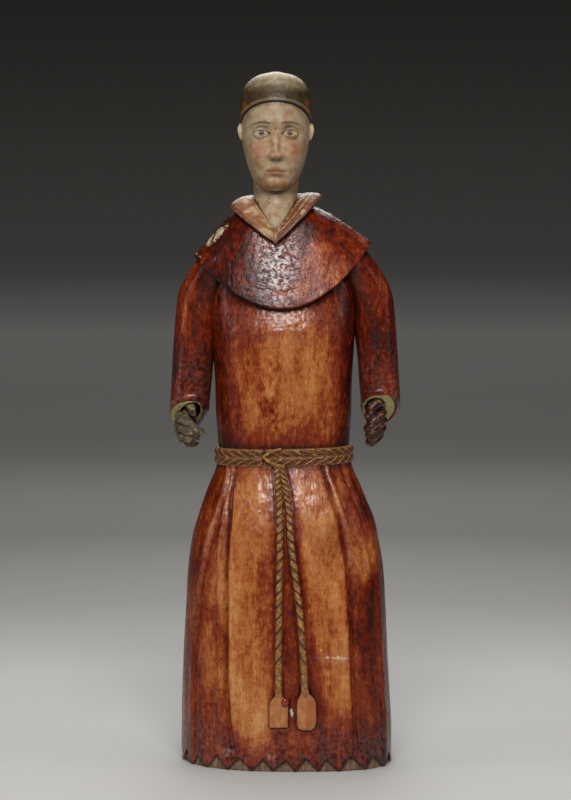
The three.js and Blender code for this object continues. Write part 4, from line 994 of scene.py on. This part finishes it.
ridge_half, ridge_y, root_half = between(NOSE_OUTLINES, z - NOSE_BASE)
in_nose = ease(z, NOSE_BASE - 2.2, NOSE_BASE - 0.6) * (1 - ease(z, NOSE_BASE + 25, NOSE_BASE + 31))
nose_y = blend(np.minimum(ridge_y, face_y), face_y, ease(aside, ridge_half * 0.55, root_half + 0.8))
wing = swell(np.hypot((aside - 4.9) / 2.5, (z - NOSE_BASE - 2.6) / 2.7), 1)
nose_y = nose_y - 2.88 * wing * in_nose
face_y = np.where(facing > 0, blend(face_y, np.minimum(nose_y, face_y), in_nose), face_y)
nostril = swell(np.hypot((aside - 2.9) / 1.3, (z - NOSE_BASE + 0.5) / 0.8), 1)
face_y = face_y + 1.8 * nostril * facing

lid_top = EYE_HEIGHT + 3.0 - 0.052 * eye_x**2
lid_foot = EYE_HEIGHT - 2.3 + 0.036 * eye_x**2
open_eye = ease(lid_top - z, -0.1, 0.35) * ease(z - lid_foot, -0.1, 0.35) * (np.abs(eye_x) < 7.4)
ball_reach = np.clip(1 - (eye_x / 8) ** 2 - (eye_z / 6) ** 2, 0, 1)
ball_y = -27 - 6.2 * np.sqrt(ball_reach) + 0.01 * eye_x**2
on_ball = ease(ball_reach, 0.02, 0.25) * facing
face_y = np.where(on_ball > 0, blend(face_y, np.minimum(face_y, ball_y - 1.1), on_ball), face_y)
face_y = np.where(facing > 0, blend(face_y, np.maximum(face_y, ball_y), open_eye), face_y)
crease = swell(z - lid_top - 2.6, 0.55) * swell(eye_x, 7)
brow_line = EYE_HEIGHT + 9.6 - 0.022 * (aside - 10.5) ** 2
brow = swell(z - brow_line, 0.8 + 0.35 * swell(aside - 9, 4))
brow = brow * ease(aside, 4, 5.6) * (1 - ease(aside, 19, 22))
face_y = face_y + (0.7 * crease - 0.4 * brow) * facing
dent = 0.16 * drift(x, face_y, z, (7, 7, 7), 73)

iris_reach = np.hypot(eye_x, eye_z - 0.5)
drawn = 0.95 * brow + open_eye * (1 - ease(iris_reach, 0.9, 1.2)) + 0.7 * crease + nostril
drawn += swell(z - lid_top, 0.42) * (np.abs(eye_x) < 7.6)
drawn += 0.6 * swell(z - lid_foot, 0.3) * (np.abs(eye_x) < 6.8)
drawn += 0.9 * swell(z - lip_line, 0.4) * (aside < 7.6)
line = facing * np.maximum(np.clip(drawn, 0, 1), 0.8 * open_eye * swell(iris_reach - 2.3, 0.3))
hair_edge = between([[0, 573.2], [14, 571], [22, 565], [27, 556], [29, 546]], aside)[0]
rub = 0.55 * ease(drift(x, face_y, z, (8, 8, 10), 74), 0, 0.7)
rub = np.maximum(rub, 0.9 * swell(aside, 2.2) * in_nose) + 0.5 * patch(x, z, (0, 503), (22, 9), 0, 0.8)
# A band under the hair's edge is painted darker as its shade, with some dirt
head = rolled("head", np.stack([NECK_CENTRE + x, face_y + dent * np.sin(angle), z], -1), {
    "rub": rub, "line": line,
    "blush": facing * 0.8 * patch(aside, z, (15.5, 531), (7.5, 7), 0, 0.9),
    "lip": facing * np.clip(upper_lip + lower_lip, 0, 1) * (aside < 8.2),
    "white": facing * open_eye, "iris": facing * open_eye * (1 - ease(iris_reach, 2.1, 2.5)),
    "dirt_and_shade": 0.55 * swell(z - hair_edge + 1.2, 1.7) * facing,
}, close=True)

flesh_paint, tree, surface = finish_of("yellowed_flesh_paint", 0.38, coat=0.06)
spots = mottle(tree, 6, seed=24.0)
fine = mottle(tree, 1.1, 0.35, 0.65, seed=25.0)
freckles = mottle(tree, 1.6, 0.62, 0.72, detail=2, seed=26.0)
colour = layered(tree, tint(170, 151, 123), [
    (152, 125, 93, spots, 1), (150, 98, 56, rubbed(tree, "rub", spots, fine, 0.05, 0.85), 0.8),
    (128, 92, 62, freckles, 0.4), (188, 96, 72, mark(tree, "blush"), 0.5),
    (176, 162, 136, mark(tree, "white"), 1), (72, 52, 34, mark(tree, "iris"), 1),
    (150, 62, 48, mark(tree, "lip"), 0.85), (40, 26, 18, mark(tree, "line"), 0.9),
    # Dirt and painted shade under the chin, at the neck's foot, under the hair's edge and in the ears'
    # hollows
    (92, 74, 56, mark(tree, "dirt_and_shade"), 1),
])
height = reckon(tree, "MULTIPLY_ADD", cracks(tree, 3.1, 0.05), -0.4, fine)
painted(tree, surface, colour, height, 0.0003, 0.5)
carried(neck, flesh_paint)
carried(head, flesh_paint)

# The ears
# Two small thin ears carved against the sides of the head, hollowed inside their rim. The rim is
# paler than the face, and the hollow is painted dark as its shade.

EAR_ROWS = [
    # share of the way to the rim, how far it stands out, shade in the hollow
    [0, 0.1, 0.5], [0.2, 0.1, 0.45], [0.4, 0.3, 0.35], [0.52, 0.9, 0.1], [0.6, 1.35, 0], [0.68, 1.0, 0.1],
    [0.76, 0.8, 0.2], [0.84, 1.4, 0], [0.91, 2.1, 0], [0.97, 2.2, 0], [1.0, 1.6, 0], [0.99, 0.8, 0],
    [0.93, -0.6, 0], [0.85, -2.6, 0], [0.5, -3, 0], [0, -3, 0],
]
EAR_HALF_HEIGHT = 8.5
EAR_HALF_WIDTH = 5.4
EAR_OUT = 28.6
EAR_HEIGHT = 548.5

around = np.linspace(0, 2 * np.pi, 73)
cos, sin = np.cos(around), np.sin(around)
reach, height, hollow = np.array(EAR_ROWS).T[..., None]
forward = EAR_HALF_WIDTH * reach * cos * (1 + 0.2 * sin * (sin < 0))
upward = EAR_HALF_HEIGHT * reach * sin
lobe = 0.8 * swell(sin + 1, 0.4) * ease(reach, 0.4, 0.7)
flap = 1.3 * swell(cos + 1, 0.3) * swell(reach - 0.55, 0.2)
flare = 1 - 0.62 * (reach * sin) ** 2 + 0.16 * reach * sin
aside = (1.0 + height * 0.95 + lobe + flap + 0.14 * np.abs(forward) - 0.12 * forward) * flare
for name, side in (("right_ear", -1), ("left_ear", 1)):
    ear_place = np.stack([
        NECK_CENTRE + side * (EAR_OUT + aside), -3 + forward * 0.95 + 0.08 * upward, EAR_HEIGHT + upward,
    ], -1)
    ear_place[0], ear_place[-1] = gathered(ear_place[0]), gathered(ear_place[-1])
    # The hollow is painted dark as its shade
    carried(rolled(name, ear_place, {"rub": 0.15, "white": 0.75, "dirt_and_shade": hollow}), flesh_paint)

# The hair
# A smooth cap of short hair with no locks carved, its front edge an arch that stands proud of the
# brow. Dark olive paint, rubbed to the pale ground on the crown and to warm wood at the temples.

HAIR_EDGE = [
    # turn from the left side through the back, height
    [0, 553], [16, 538], [35, 522], [90, 508], [145, 522], [164, 538], [180, 553], [196, 559], [210, 563],
    [226, 567.5], [246, 571.5], [270, 573.4], [294, 571.5], [314, 567.5], [330, 563], [344, 559],
    [360, 553],
]
HAIR_THIN = 0.8
HAIR_THICK = 2.2

hair_turn = np.linspace(90, 450, 261)
angle = np.radians(hair_turn)
edge = between(HAIR_EDGE, np.mod(hair_turn, 360))[0]
# Share of the way from edge to crown, share of the thickness, and how far it hangs
hair_rows = [(0, -1.6, 0.2), (0, 0.0, 0.25), (0, 0.5, 0.1), (0, 0.85, -0.2), (0, 1, -0.6)]
hair_rows += [(share, 1, -0.6 * (1 - ease(share, 0, 0.2))) for share in np.linspace(0.01, 0.985, 120)]
share, thickness, drop = np.array(hair_rows).T[..., None]
height = blend(edge, CROWN, np.sin(share * np.pi / 2))
full = blend(HAIR_THIN, HAIR_THICK, np.clip((height - 516) / 26, 0, 1))
x, y = head_point(height, angle, full * thickness)
hair_place = np.stack([NECK_CENTRE + x, y, height + share * 2.2 - drop], -1)
x, y, z = np.moveaxis(hair_place, -1, 0)
dent = 0.2 * drift(x, y, z, (10, 10, 8), 81) + 0.1 * drift(x, y, z, (2.5, 2.5, 9), 82)
hair_place = hair_place + dent[..., None] * np.stack([np.cos(angle), np.sin(angle), 0 * angle], -1)
x, y, z = np.moveaxis(hair_place, -1, 0)
front = ease(-y, -12, 20)
aside = np.abs(x - NECK_CENTRE)
sides_of_face = 0.4 * ease(-z, -562, -548) * ease(aside, 20, 27)
hair = rolled("cap_of_hair", hair_place, {
    "bald": ease(z + 2.0 * drift(x, y, 0, (9, 9, 1), 83), 580, 595),
    "temple": 0.6 * patch(aside, z, (27, 564), (5, 13), 0, 0.8) * ease(-y, 2, 14),
    "light": swell(share - 0.045, 0.028) * front,
    "dark": np.maximum(swell(share, 0.012) * front, sides_of_face),
}, close=True)

hair_paint, tree, surface = finish_of("olive_hair_paint", 0.42, shine=0.3)
spots = mottle(tree, 6, seed=27.0)
grain = mottle(tree, 1.4, tall=5, seed=28.0)
colour = layered(tree, tint(54, 42, 25), [
    (31, 23, 13, spots, 1), (74, 59, 37, grain, 0.35),
    (128, 72, 34, rubbed(tree, "temple", spots, grain, 0.1, 0.9), 0.75),
])
pale = over(tree, tint(160, 148, 118), tint(118, 102, 72), spots)
colour = layered(tree, over(tree, colour, pale, mark(tree, "bald")), [
    (132, 112, 78, mark(tree, "light"), 0.6), (36, 26, 18, mark(tree, "dark"), 0.85),
])
painted(tree, surface, colour, reckon(tree, "MULTIPLY_ADD", grain, 0.5, spots), 0.0004, 0.5)
carried(hair, hair_paint)

# The rope belt
# Two twisted ropes carved round the waist in one with the block, their strands cut as leaf-shaped
# hollows that slant opposite ways, painted ochre. In front they meet at a pointed loop.

ROPE = 3.7
ROPE_SUNK = 0.6
ROPE_STRANDS = 33
BELT_JOIN = -18.3

ring_shares = np.linspace(0, 1, 2001)
ring_x, ring_y = habit_ring(WAIST, ring_shares)[:2]
join_share = ring_shares[ring_y < 0][np.argmin(np.abs(ring_x[ring_y < 0] - BELT_JOIN))]


def make_rope(name, height_off, slant):
    steps = np.linspace(0.0012, 0.9988, 760)
    x, y, out_x, out_y, length = habit_ring(WAIST, np.mod(join_share + steps, 1))
    x, y = x - ROPE_SUNK * out_x, y - ROPE_SUNK * out_y
    middle = np.stack([x, y, WAIST + height_off + 0.9 * np.cos(np.arctan2(y, x))], -1)
    out_way = np.stack([out_x, out_y, 0 * out_x], -1)
    bearing = np.linspace(-np.pi, np.pi, 29)
    strand = steps[:, None] * ROPE_STRANDS
    phase = strand + slant * 0.66 * np.sin(bearing)
    phase = phase + 0.05 * drift(strand, 0, 0, (1.3, 1, 1), 91 + height_off)
    hollow = ease(np.abs(np.sin(np.pi * phase)), 0.3, 0.66) * (1 - ease(np.abs(bearing), 0.54, 0.891))
    relief = ROPE + 0.4 - 1.25 * hollow + 0.15 * drift(strand * 4, bearing * 2, 0, (1, 1, 1), 92)
    ends = ease(steps, 0.001, 0.0055) * ease(1 - steps, 0.001, 0.004)
    relief = relief * (0.45 + 0.55 * ends)[:, None]
    outwards, upwards = relief * np.cos(bearing), 1.02 * relief * np.sin(bearing)
    place = middle[:, None] + out_way[:, None] * outwards[..., None] + UP * upwards[..., None]
    # Painted shade along the rope's edge where it meets the habit
    seam_shade = swell(slant * bearing - 1.5, 0.3)
    return rolled(name, place, {"hollow": hollow, "seam_shade": seam_shade}, close=True)


rope_paint, tree, surface = finish_of("ochre_rope_paint", 0.28)
spots = mottle(tree, 4, seed=31.0)
fine = mottle(tree, 0.9, 0.35, 0.65, seed=32.0)
worn = mottle(tree, 2.2, 0.42, 0.6, detail=4, seed=37.0)
hollow_colour = over(tree, tint(112, 56, 22), tint(64, 26, 12), worn)
colour = layered(tree, tint(192, 142, 70), [(146, 94, 42, spots, 1), (96, 54, 24, worn, 0.55)])
colour = over(tree, colour, hollow_colour, leveled(tree, mark(tree, "hollow"), 0.12, 0.5))
# Painted shade at the ropes' edges and in the cords' cuts and sides
colour = layered(tree, colour, [(66, 40, 24, fine, 0.3), (46, 22, 14, mark(tree, "seam_shade"), 0.75)])
painted(tree, surface, colour, reckon(tree, "MULTIPLY_ADD", fine, 0.5, worn), 0.0006, 0.8)
carried(make_rope("upper_belt_rope", 0.96 * ROPE, 1), rope_paint)
carried(make_rope("lower_belt_rope", -0.96 * ROPE, -1), rope_paint)


def smooth_line(points, count):
    """A smooth curve through points of place, and of radius too where they have one"""
    points = np.array(points, float)
    length = length_along(points[:, :3])
    return between(np.column_stack([length, points]), np.linspace(0, length[-1], count)).T


def swept(name, line, radii):
    """A round strand along a line of points, closed and rounded at both ends"""
    ahead = np.gradient(line, axis=0)
    ahead /= np.linalg.norm(ahead, axis=1, keepdims=True)
    front = np.array([0, -1.0, 0]) + ahead * ahead[:, 1:2]
    front /= np.linalg.norm(front, axis=1, keepdims=True)
    aside = np.cross(ahead, front)
    bearing = np.linspace(-np.pi, np.pi, 25)[:, None]
    bends = np.linspace(0, np.pi / 2, 6)[:-1]
    station = np.pad(np.arange(len(line)), len(bends), "edge")
    reach = np.concatenate([-np.cos(bends), np.zeros(len(line)), np.cos(bends[::-1])])
    size = np.concatenate([np.sin(bends), np.ones(len(line)), np.sin(bends[::-1])])
    radius = radii[station]
    centre = line[station] + ahead[station] * (radius * reach)[:, None]
    ring = front[station, None] * np.cos(bearing) + aside[station, None] * np.sin(bearing)
    place = centre[:, None] + ring * (np.maximum(size, 1e-4) * radius)[:, None, None]
    place[0], place[-1] = gathered(place[0]), gathered(place[-1])
    return rolled(name, place)


# Along the loop: sideways place, height and how far it lies out from the waist
LOOP = [
    (-4.5, 275.6, 2.4), (-9, 274.6, 3.4), (-14, 272.2, 3.9), (-18.4, 268.9, 3.6), (-15.2, 265.6, 3.9),
    (-10.5, 263.0, 3.8), (-5, 261.4, 2.4),
]
loop_line = smooth_line([[x, habit_front(x, WAIST) - out, z] for x, z, out in LOOP], 60)
carried(swept("pointed_loop", loop_line, 1.35 + 0.12 * np.sin(np.linspace(0, 40, 60))), rope_paint)

# The hanging cords
# The two ends of the belt, carved down the front in half relief with slanting cuts for the twist,
# closer together at the top, between dark purplish channels.

CORD = 2.7
# Share of the way down and the number of cuts above it
CORD_CUTS = [[0, 0], [0.2, 8], [0.5, 15.5], [0.88, 22], [1, 22.5]]


def make_cord(name, line, slant, seed):
    foot, top = line[0][0], line[-1][0]
    z = np.linspace(top, foot - 0.5, 480)[:, None]
    bearing = np.linspace(-1.9, 1.9, 25)
    x = between(line, z)[0]
    down = (top - z) / (top - foot)
    cuts = between(CORD_CUTS, down + slant * 0.0085 * bearing * (1 + 0.8 * down))[0]
    cuts = cuts + 0.12 * drift(cuts, 0, 0, (1, 1, 1), seed)
    cut = swell(np.abs(np.mod(cuts, 1) - 0.5), blend(0.16, 0.075, down))
    cut = cut * (1 - ease(down, 0.9, 0.92)) * ease(down, 0.0, 0.02)
    radius = CORD + 0.05 - 0.62 * cut + 0.2 * np.sin(np.pi * np.mod(cuts, 1))
    radius += 0.1 * drift(z, bearing, 0, (3, 1, 1), seed + 1)
    front = habit_front(x, z)
    y = front - radius * np.cos(bearing) - 0.4
    place = np.stack([x + radius * np.sin(bearing), y, z + 0 * radius], -1)
    root = np.stack([x, front + 4, z], -1)
    # Painted shade in the cuts and down the cord's sides
    seam_shade = np.maximum(0.8 * cut, 0.6 * ease(np.abs(bearing), 1.35, 1.7))
    marks = {"hollow": cut, "seam_shade": seam_shade}
    marks = {name: np.pad(value, ((0, 0), (0, 2)), "edge") for name, value in marks.items()}
    return rolled(name, np.concatenate([place, root, place[:, :1]], 1), marks, close=True)


carried(make_cord("right_cord", RIGHT_CORD, 1, 101), rope_paint)
carried(make_cord("left_cord", LEFT_CORD, -1, 104), rope_paint)

# The tassels and the bead
# Two flat paddle-shaped tassels cut in low relief at the cords' ends, plain, tan over ochre, and a
# small dark bead of glossy varnish on the upper corner of the right one.

TASSEL_RELIEF = 2.4
TASSEL_ROWS = [
    # share of the way from the middle to the outline, share of the relief, painted shade of the edge
    [0, 1, 0], [0.15, 1, 0], [0.3, 1, 0], [0.45, 1, 0], [0.6, 1, 0], [0.72, 1, 0], [0.82, 0.98, 0],
    [0.89, 0.93, 0.1], [0.94, 0.83, 0.3], [0.975, 0.65, 0.6], [0.995, 0.4, 0.8], [1.0, 0.1, 1],
    [1.0, -0.5, 1], [0.98, -1.5, 1], [0, -1.6, 1],
]


def rounded_outline(points, count):
    """The outline's corners softened and its points spaced evenly"""
    shut = np.array(points + points[:1], float)
    length = length_along(shut)
    even = np.linspace(0, length[-1], 721)
    blur = np.hanning(31)
    blur /= blur.sum()
    pick = np.linspace(0, 720, count).round().astype(int) % 720
    outline = [np.interp(even, length, values)[:-1] for values in shut.T]
    return [np.convolve(np.pad(values, 15, "wrap"), blur, "valid")[pick] for values in outline]


def make_tassel(name, outline, seed):
    edge_x, edge_z = rounded_outline(outline, 145)
    share, relief, dirt_and_shade = np.array(TASSEL_ROWS).T[..., None]
    x, z = blend(edge_x[:-1].mean(), edge_x, share), blend(edge_z[:-1].mean(), edge_z, share)
    y = habit_front(x, z) - TASSEL_RELIEF * relief - 0.2 * drift(x, 0, z, (4, 1, 5), seed)
    place = np.stack([x, y, z], -1)
    place[0], place[-1] = gathered(place[0]), gathered(place[-1])
    x, y, z = np.moveaxis(place, -1, 0)
    smear = 0.8 * patch(x, z, (22, 56), (4, 8), 10) + 0.6 * patch(x, z, (20, 44), (3, 6), -20)
    # The outline and sides are painted dark as shade
    return rolled(name, place, {"seam_shade": dirt_and_shade, "smear": smear})


tassel_paint, tree, surface = finish_of("tan_tassel_paint", 0.36, coat=0.3, coat_roughness=0.25)
fine = mottle(tree, 0.9, 0.35, 0.65, tall=4, seed=34.0)
colour = layered(tree, tint(190, 124, 66), [
    (158, 94, 46, mottle(tree, 4, tall=2, seed=33.0), 1), (128, 76, 42, fine, 0.3),
    # Painted shade round the outline
    (150, 62, 30, mark(tree, "smear"), 0.7), (38, 20, 14, mark(tree, "seam_shade"), 0.9),
])
painted(tree, surface, colour, fine, 0.0003, 0.5)
carried(make_tassel("right_tassel", RIGHT_TASSEL, 111), tassel_paint)
carried(make_tassel("left_tassel", LEFT_TASSEL, 114), tassel_paint)

BEAD_X = -0.4
BEAD_HEIGHT = 60.4
around = np.linspace(0, 2 * np.pi, 33)
tilt = np.linspace(0, np.pi, 20)[:, None]
bulge = 2.8 * np.sin(tilt) * np.sin(around) * (1 + 0.1 * np.sin(tilt * 3))
bead_place = np.stack([
    BEAD_X + 3.4 * np.sin(tilt) * np.cos(around), habit_front(-0.3, BEAD_HEIGHT) - 2.2 - bulge,
    BEAD_HEIGHT + 3.9 * np.cos(tilt) + 0 * around,
], -1)
bead_varnish, tree, surface = finish_of("dark_bead_varnish", 0.15, coat=0.6, coat_roughness=0.08)
colour = over(tree, tint(142, 34, 20), tint(70, 14, 10), mottle(tree, 2, seed=35.0))
painted(tree, surface, colour, mottle(tree, 1.5, seed=36.0), 0.0002, 0.5)
carried(rolled("dark_bead", bead_place), bead_varnish)

# The hands
# Each hand is carved on its own, closed as if it once held something, and its wrist is pushed into
# the cuff's socket. The right one is bare weathered grey-brown wood, the left one dark red-brown.

# Palm, then thumb or upper band and the fingers from the top: each stop's place and radius
HANDS = {
    "right": [
        [[-83.6, 0, 312, 6], [-86.6, -8, 301, 7.6], [-87.6, -12.6, 290, 8.2], [-86, -11, 281.5, 6.4]],
        [[-86, -8, 312, 3.2], [-83.8, -16, 312.4, 3.5], [-81.6, -20.4, 310, 3.6], [-80.4, -20, 305, 2.8]],
        [[-92.4, -11, 302, 4.0], [-90.4, -18, 299.6, 4.5], [-84.5, -22.6, 296.4, 4.5],
         [-78.5, -23.6, 291.4, 3.8], [-74.4, -22.8, 288.6, 3.6], [-73.4, -22.2, 289.2, 3.4]],
        [[-93.4, -11, 295, 4.3], [-90, -18.6, 292, 4.6], [-83, -22.4, 289.4, 4.5], [-77.4, -21, 286, 3.6]],
        [[-92.6, -9, 288.6, 4.1], [-89, -16.6, 285.6, 4.4], [-82.6, -20, 283.2, 4.2],
         [-77.8, -18, 281.6, 3.4]],
        [[-90, -7, 282.6, 3.9], [-87, -13.6, 279.8, 4.1], [-82, -16.2, 278.4, 3.8],
         [-78.6, -13.6, 278.4, 3.2]],
    ],
    "left": [
        [[78.2, -3, 314.5, 7.8], [78.4, -8, 303, 8.4], [78, -10.5, 291, 7.6], [76, -8.6, 282, 5.6]],
        [[83, -9, 311, 4.3], [80.6, -15.6, 314.6, 5.0], [75.6, -19.4, 310, 4.6], [71.8, -20.2, 302, 3.7]],
        [[84.6, -10, 304.4, 3.9], [81.6, -17.6, 302.6, 4.1], [75.6, -21.6, 296.8, 4.0],
         [70.8, -20.4, 291.6, 3.6]],
        [[85, -9.6, 298, 3.9], [82.4, -16.8, 295.8, 4.1], [76.4, -20.8, 289.8, 4.0], [72, -19, 285.4, 3.3]],
        [[84.4, -8.6, 291.4, 3.8], [81.8, -15.4, 289, 4.0], [76, -19.2, 283.4, 3.9],
         [72.2, -17, 279.6, 3.2]],
        [[82.4, -7, 285, 3.6], [79.8, -12.8, 282.4, 3.8], [75.4, -15.4, 278.8, 3.5], [73, -13, 278, 3.0]],
    ],
}
# The wrist: half width, half depth, and how far it reaches out of the socket and into it
WRIST_WIDE = 6.2
WRIST_DEEP = 10
WRIST_OUT = 7
WRIST_IN = -9.2
# Size of the cells that melt the limbs into one hand, in metres, and how often its points are averaged
# for a soft skin and for the broad form under it
HAND_CELL = 0.00062
SKIN_ROUNDS = 4
BROAD_ROUNDS = 26


def joined(name, limbs):
    clear_selection()
    for limb in limbs:
        limb.select_set(True)
    bpy.context.view_layer.objects.active = limbs[0]
    bpy.ops.object.join()
    piece = bpy.context.object
    piece.name = piece.data.name = name
    piece.data.remesh_voxel_size = HAND_CELL
    bpy.ops.object.voxel_remesh()
    return piece


def held_in(vertices, setting):
    values = np.empty(len(vertices) * 3)
    vertices.foreach_get(setting, values)
    return values.reshape(-1, 3)


def make_hand(which, weathering, seed):
    middle, inwards, forward, out = cuff_ways(ARMS[which], WRIST_LEAN)
    lines = [smooth_line(stops, 26) for stops in HANDS[which]]
    limbs = [swept("limb", line[:, :3], line[:, 3]) for line in lines]
    clear_selection()
    bpy.ops.mesh.primitive_cylinder_add(vertices=48, radius=1, depth=1)
    wrist = bpy.context.object
    for vertex in wrist.data.vertices:
        along = WRIST_OUT if vertex.co.z > 0 else WRIST_IN
        place = vertex.co.x * WRIST_WIDE * inwards + vertex.co.y * WRIST_DEEP * forward + along * out
        vertex.co = (middle + place) * 0.001
    hand = joined(which + "_hand_carving", limbs + [wrist])
    vertices = hand.data.vertices
    edges = np.empty(len(hand.data.edges) * 2, int)
    hand.data.edges.foreach_get("vertices", edges)
    first, second = edges[0::2], edges[1::2]

    def averaged(values):
        """Values of each point taken from the points beside it"""
        total = [
            np.bincount(first, column[second], len(values))
            + np.bincount(second, column[first], len(values)) for column in values.T
        ]
        return (np.array(total) / np.bincount(edges)).T

    eased = held_in(vertices, "co") * 1000
    for _ in range(SKIN_ROUNDS):
        eased = 0.5 * eased + 0.5 * averaged(eased)
    broad = eased
    for _ in range(BROAD_ROUNDS):
        broad = averaged(broad)
    vertices.foreach_set("co", (eased * 0.001).ravel())
    hand.data.update()
    way = held_in(vertices, "normal")
    hollow = ((broad - eased) * way).sum(-1)
    x, y, z = eased.T
    weathered = 0.42 * drift(x, y, z, (3, 3, 1.7), seed)
    weathered += 0.24 * drift(x, y, z, (1.2, 1.2, 1.2), seed + 1)
    rise = weathering * weathered - 0.8 * np.clip(hollow, 0, 1.2)
    vertices.foreach_set("co", ((eased + way * rise[:, None]) * 0.001).ravel())
    hand.data.update()
    # The hollows between the fingers are painted dark as their shade, with dirt; the raised parts are marked
    # as wear
    for name, value in {
        "dirt_and_shade": hollow * 1.9 - weathering * weathered * 1.3 - 0.2, "worn": weathered * 1.8 - hollow - 0.5,
    }.items():
        held = np.clip(value, 0, 1).astype(np.float32)
        hand.data.attributes.new(name, "FLOAT", "POINT").data.foreach_set("value", held)
    clear_selection()
    hand.select_set(True)
    bpy.context.view_layer.objects.active = hand
    bpy.ops.object.shade_smooth()
    return hand


def hand_wood(name, dark, light, wear_and_glint_colour, roughness, seed):
    wood, tree, surface = finish_of(name, roughness, shine=0.4)
    grain = mottle(tree, 1.3, tall=7, seed=seed + 1)
    colour = layered(tree, tint(*dark), [
        (*light, mottle(tree, 5, tall=2, seed=seed), 1), (*dark, grain, 0.6),
        (*wear_and_glint_colour, mark(tree, "worn"), 0.6), (20, 14, 10, mark(tree, "dirt_and_shade"), 0.85),
    ])
    painted(tree, surface, colour, grain, 0.0004, 0.7)
    return wood


right_wood = hand_wood("weathered_grey_wood", (62, 50, 36), (112, 95, 68), (196, 180, 144), 0.6, 41.0)
# On the left hand the pale raised parts are painted glints as well as wear
left_wood = hand_wood("dark_red_brown_wood", (40, 16, 11), (84, 38, 24), (186, 128, 96), 0.3, 44.0)
carried(make_hand("right", 1.0, 121), right_wood, "right_hand")
carried(make_hand("left", 0.4, 124), left_wood, "left_hand")

# The place where it stands
# A pale floor that runs up into a plain backdrop, its grey painted darker outwards and upwards as
# the shade where the light falls off, a wide soft light in front and above, weaker strips at the
# sides and a soft top light. The camera stands in front and looks a little down.

# Distance from the middle and height of the floor and the wall round it, in metres
STUDIO_PROFILE = [
    (0.02, 0), (0.3, 0), (0.6, 0), (1, 0), (1.5, 0), (2.2, 0), (3, 0), (3.8, 0), (4.3, 0.06), (4.7, 0.22),
    (5, 0.5), (5.15, 0.9), (5.2, 1.5), (5.2, 2.4), (5.2, 3.6),
]
# How much faster the greys change up the wall than along the floor, and how far out they reach
WALL_PACE = 1.5
GREYS_REACH = 7.0
# Painted shade: the greys darken outwards along the floor and up the wall as the light falls off, and are a
# little darker next to the foot
FLOOR_FALLOFF_GREYS = [
    # share of the way out and up the wall, and the grey there
    (0.0, 178, 178, 176), (0.02, 193, 193, 191), (0.075, 197, 197, 195), (0.15, 159, 158, 156),
    (0.257, 124, 123, 121), (0.42, 141, 140, 138), (0.7, 149, 148, 146), (0.76, 93, 92, 90),
    (0.777, 86, 85, 83), (0.814, 82, 81, 78), (0.89, 62, 61, 57), (0.964, 40, 39, 34),
]
around = np.linspace(0, 2 * np.pi, 97)
distance, rise = np.array(STUDIO_PROFILE).T[..., None] * 1000
studio_place = [distance * np.cos(around), distance * np.sin(around), rise + 0 * around]
floor = rolled("floor_and_wall", np.stack(studio_place, -1))
pale_floor_with_painted_falloff, tree, surface = finish_of("pale_floor_with_painted_falloff", 0.8)
place = node_of(tree, "TexCoord").outputs["Object"]
level = node_of(tree, "VectorMath", {0: place, 1: (1, 1, 0)}, operation="MULTIPLY").outputs["Vector"]
from_middle = node_of(tree, "VectorMath", {0: level}, operation="LENGTH").outputs["Value"]
rise = node_of(tree, "SeparateXYZ", {"Vector": place}).outputs["Z"]
reach = reckon(tree, "MULTIPLY_ADD", rise, WALL_PACE, from_middle)
painted_falloff_greys = graded(tree, reckon(tree, "DIVIDE", reach, GREYS_REACH), FLOOR_FALLOFF_GREYS)
tree.links.new(painted_falloff_greys, surface.inputs["Base Color"])
floor.data.materials.append(pale_floor_with_painted_falloff)


def soft_light(name, place, aim, size, power):
    clear_selection()
    bpy.ops.object.light_add(type="AREA", location=place)
    lamp = bpy.context.object
    lamp.name = name
    lamp.data.shape = "RECTANGLE"
    lamp.data.size, lamp.data.size_y = size
    lamp.data.energy = power
    lamp.data.color = (1, 0.98, 0.95)
    lamp.rotation_euler = (Vector(aim) - Vector(place)).to_track_quat("-Z", "Y").to_euler()


soft_light("front_soft_light", (0.0, -1.95, 1.75), (0, 0, 0.33), (1.1, 1.05), 52)
soft_light("left_strip", (-1.6, -0.5, 0.8), (0, 0, 0.3), (0.2, 1.2), 4)
soft_light("right_strip", (1.6, -0.4, 0.9), (0, 0, 0.3), (0.2, 1.0), 2.5)
soft_light("top_light", (0, 0.1, 2.0), (0, 0, 0.4), (0.7, 0.7), 8)
soft_light("back_soft_light", (0, 2.3, 1.6), (0, 0, 0.3), (1.2, 1.0), 14)
soft_light("backdrop_light", (0, 2.6, 2.8), (0, 3.0, 0), (3.0, 1.2), 30)
world = bpy.data.worlds.new("studio_air")
bpy.context.scene.world = world
world.use_nodes = True
air = world.node_tree.nodes["Background"]
air.inputs["Color"].default_value = (0.5, 0.5, 0.5, 1)
air.inputs["Strength"].default_value = 0.05
bpy.context.scene.view_settings.view_transform = "Standard"

CAMERA_DISTANCE = 2.514
CAMERA_HEIGHT = 0.475
CAMERA_DOWN = 3.643
PICTURE_HEIGHT = 800
FOCAL_PIXELS = 2884
clear_selection()
bpy.ops.object.camera_add(
    location=(0, -CAMERA_DISTANCE, CAMERA_HEIGHT), rotation=(math.radians(90 - CAMERA_DOWN), 0, 0)
)
camera = bpy.context.object
camera.name = "camera"
camera.data.sensor_fit = "AUTO"
camera.data.sensor_width = 36
camera.data.lens = FOCAL_PIXELS / PICTURE_HEIGHT * camera.data.sensor_width
camera.data.clip_start = 0.05
bpy.context.scene.camera = camera
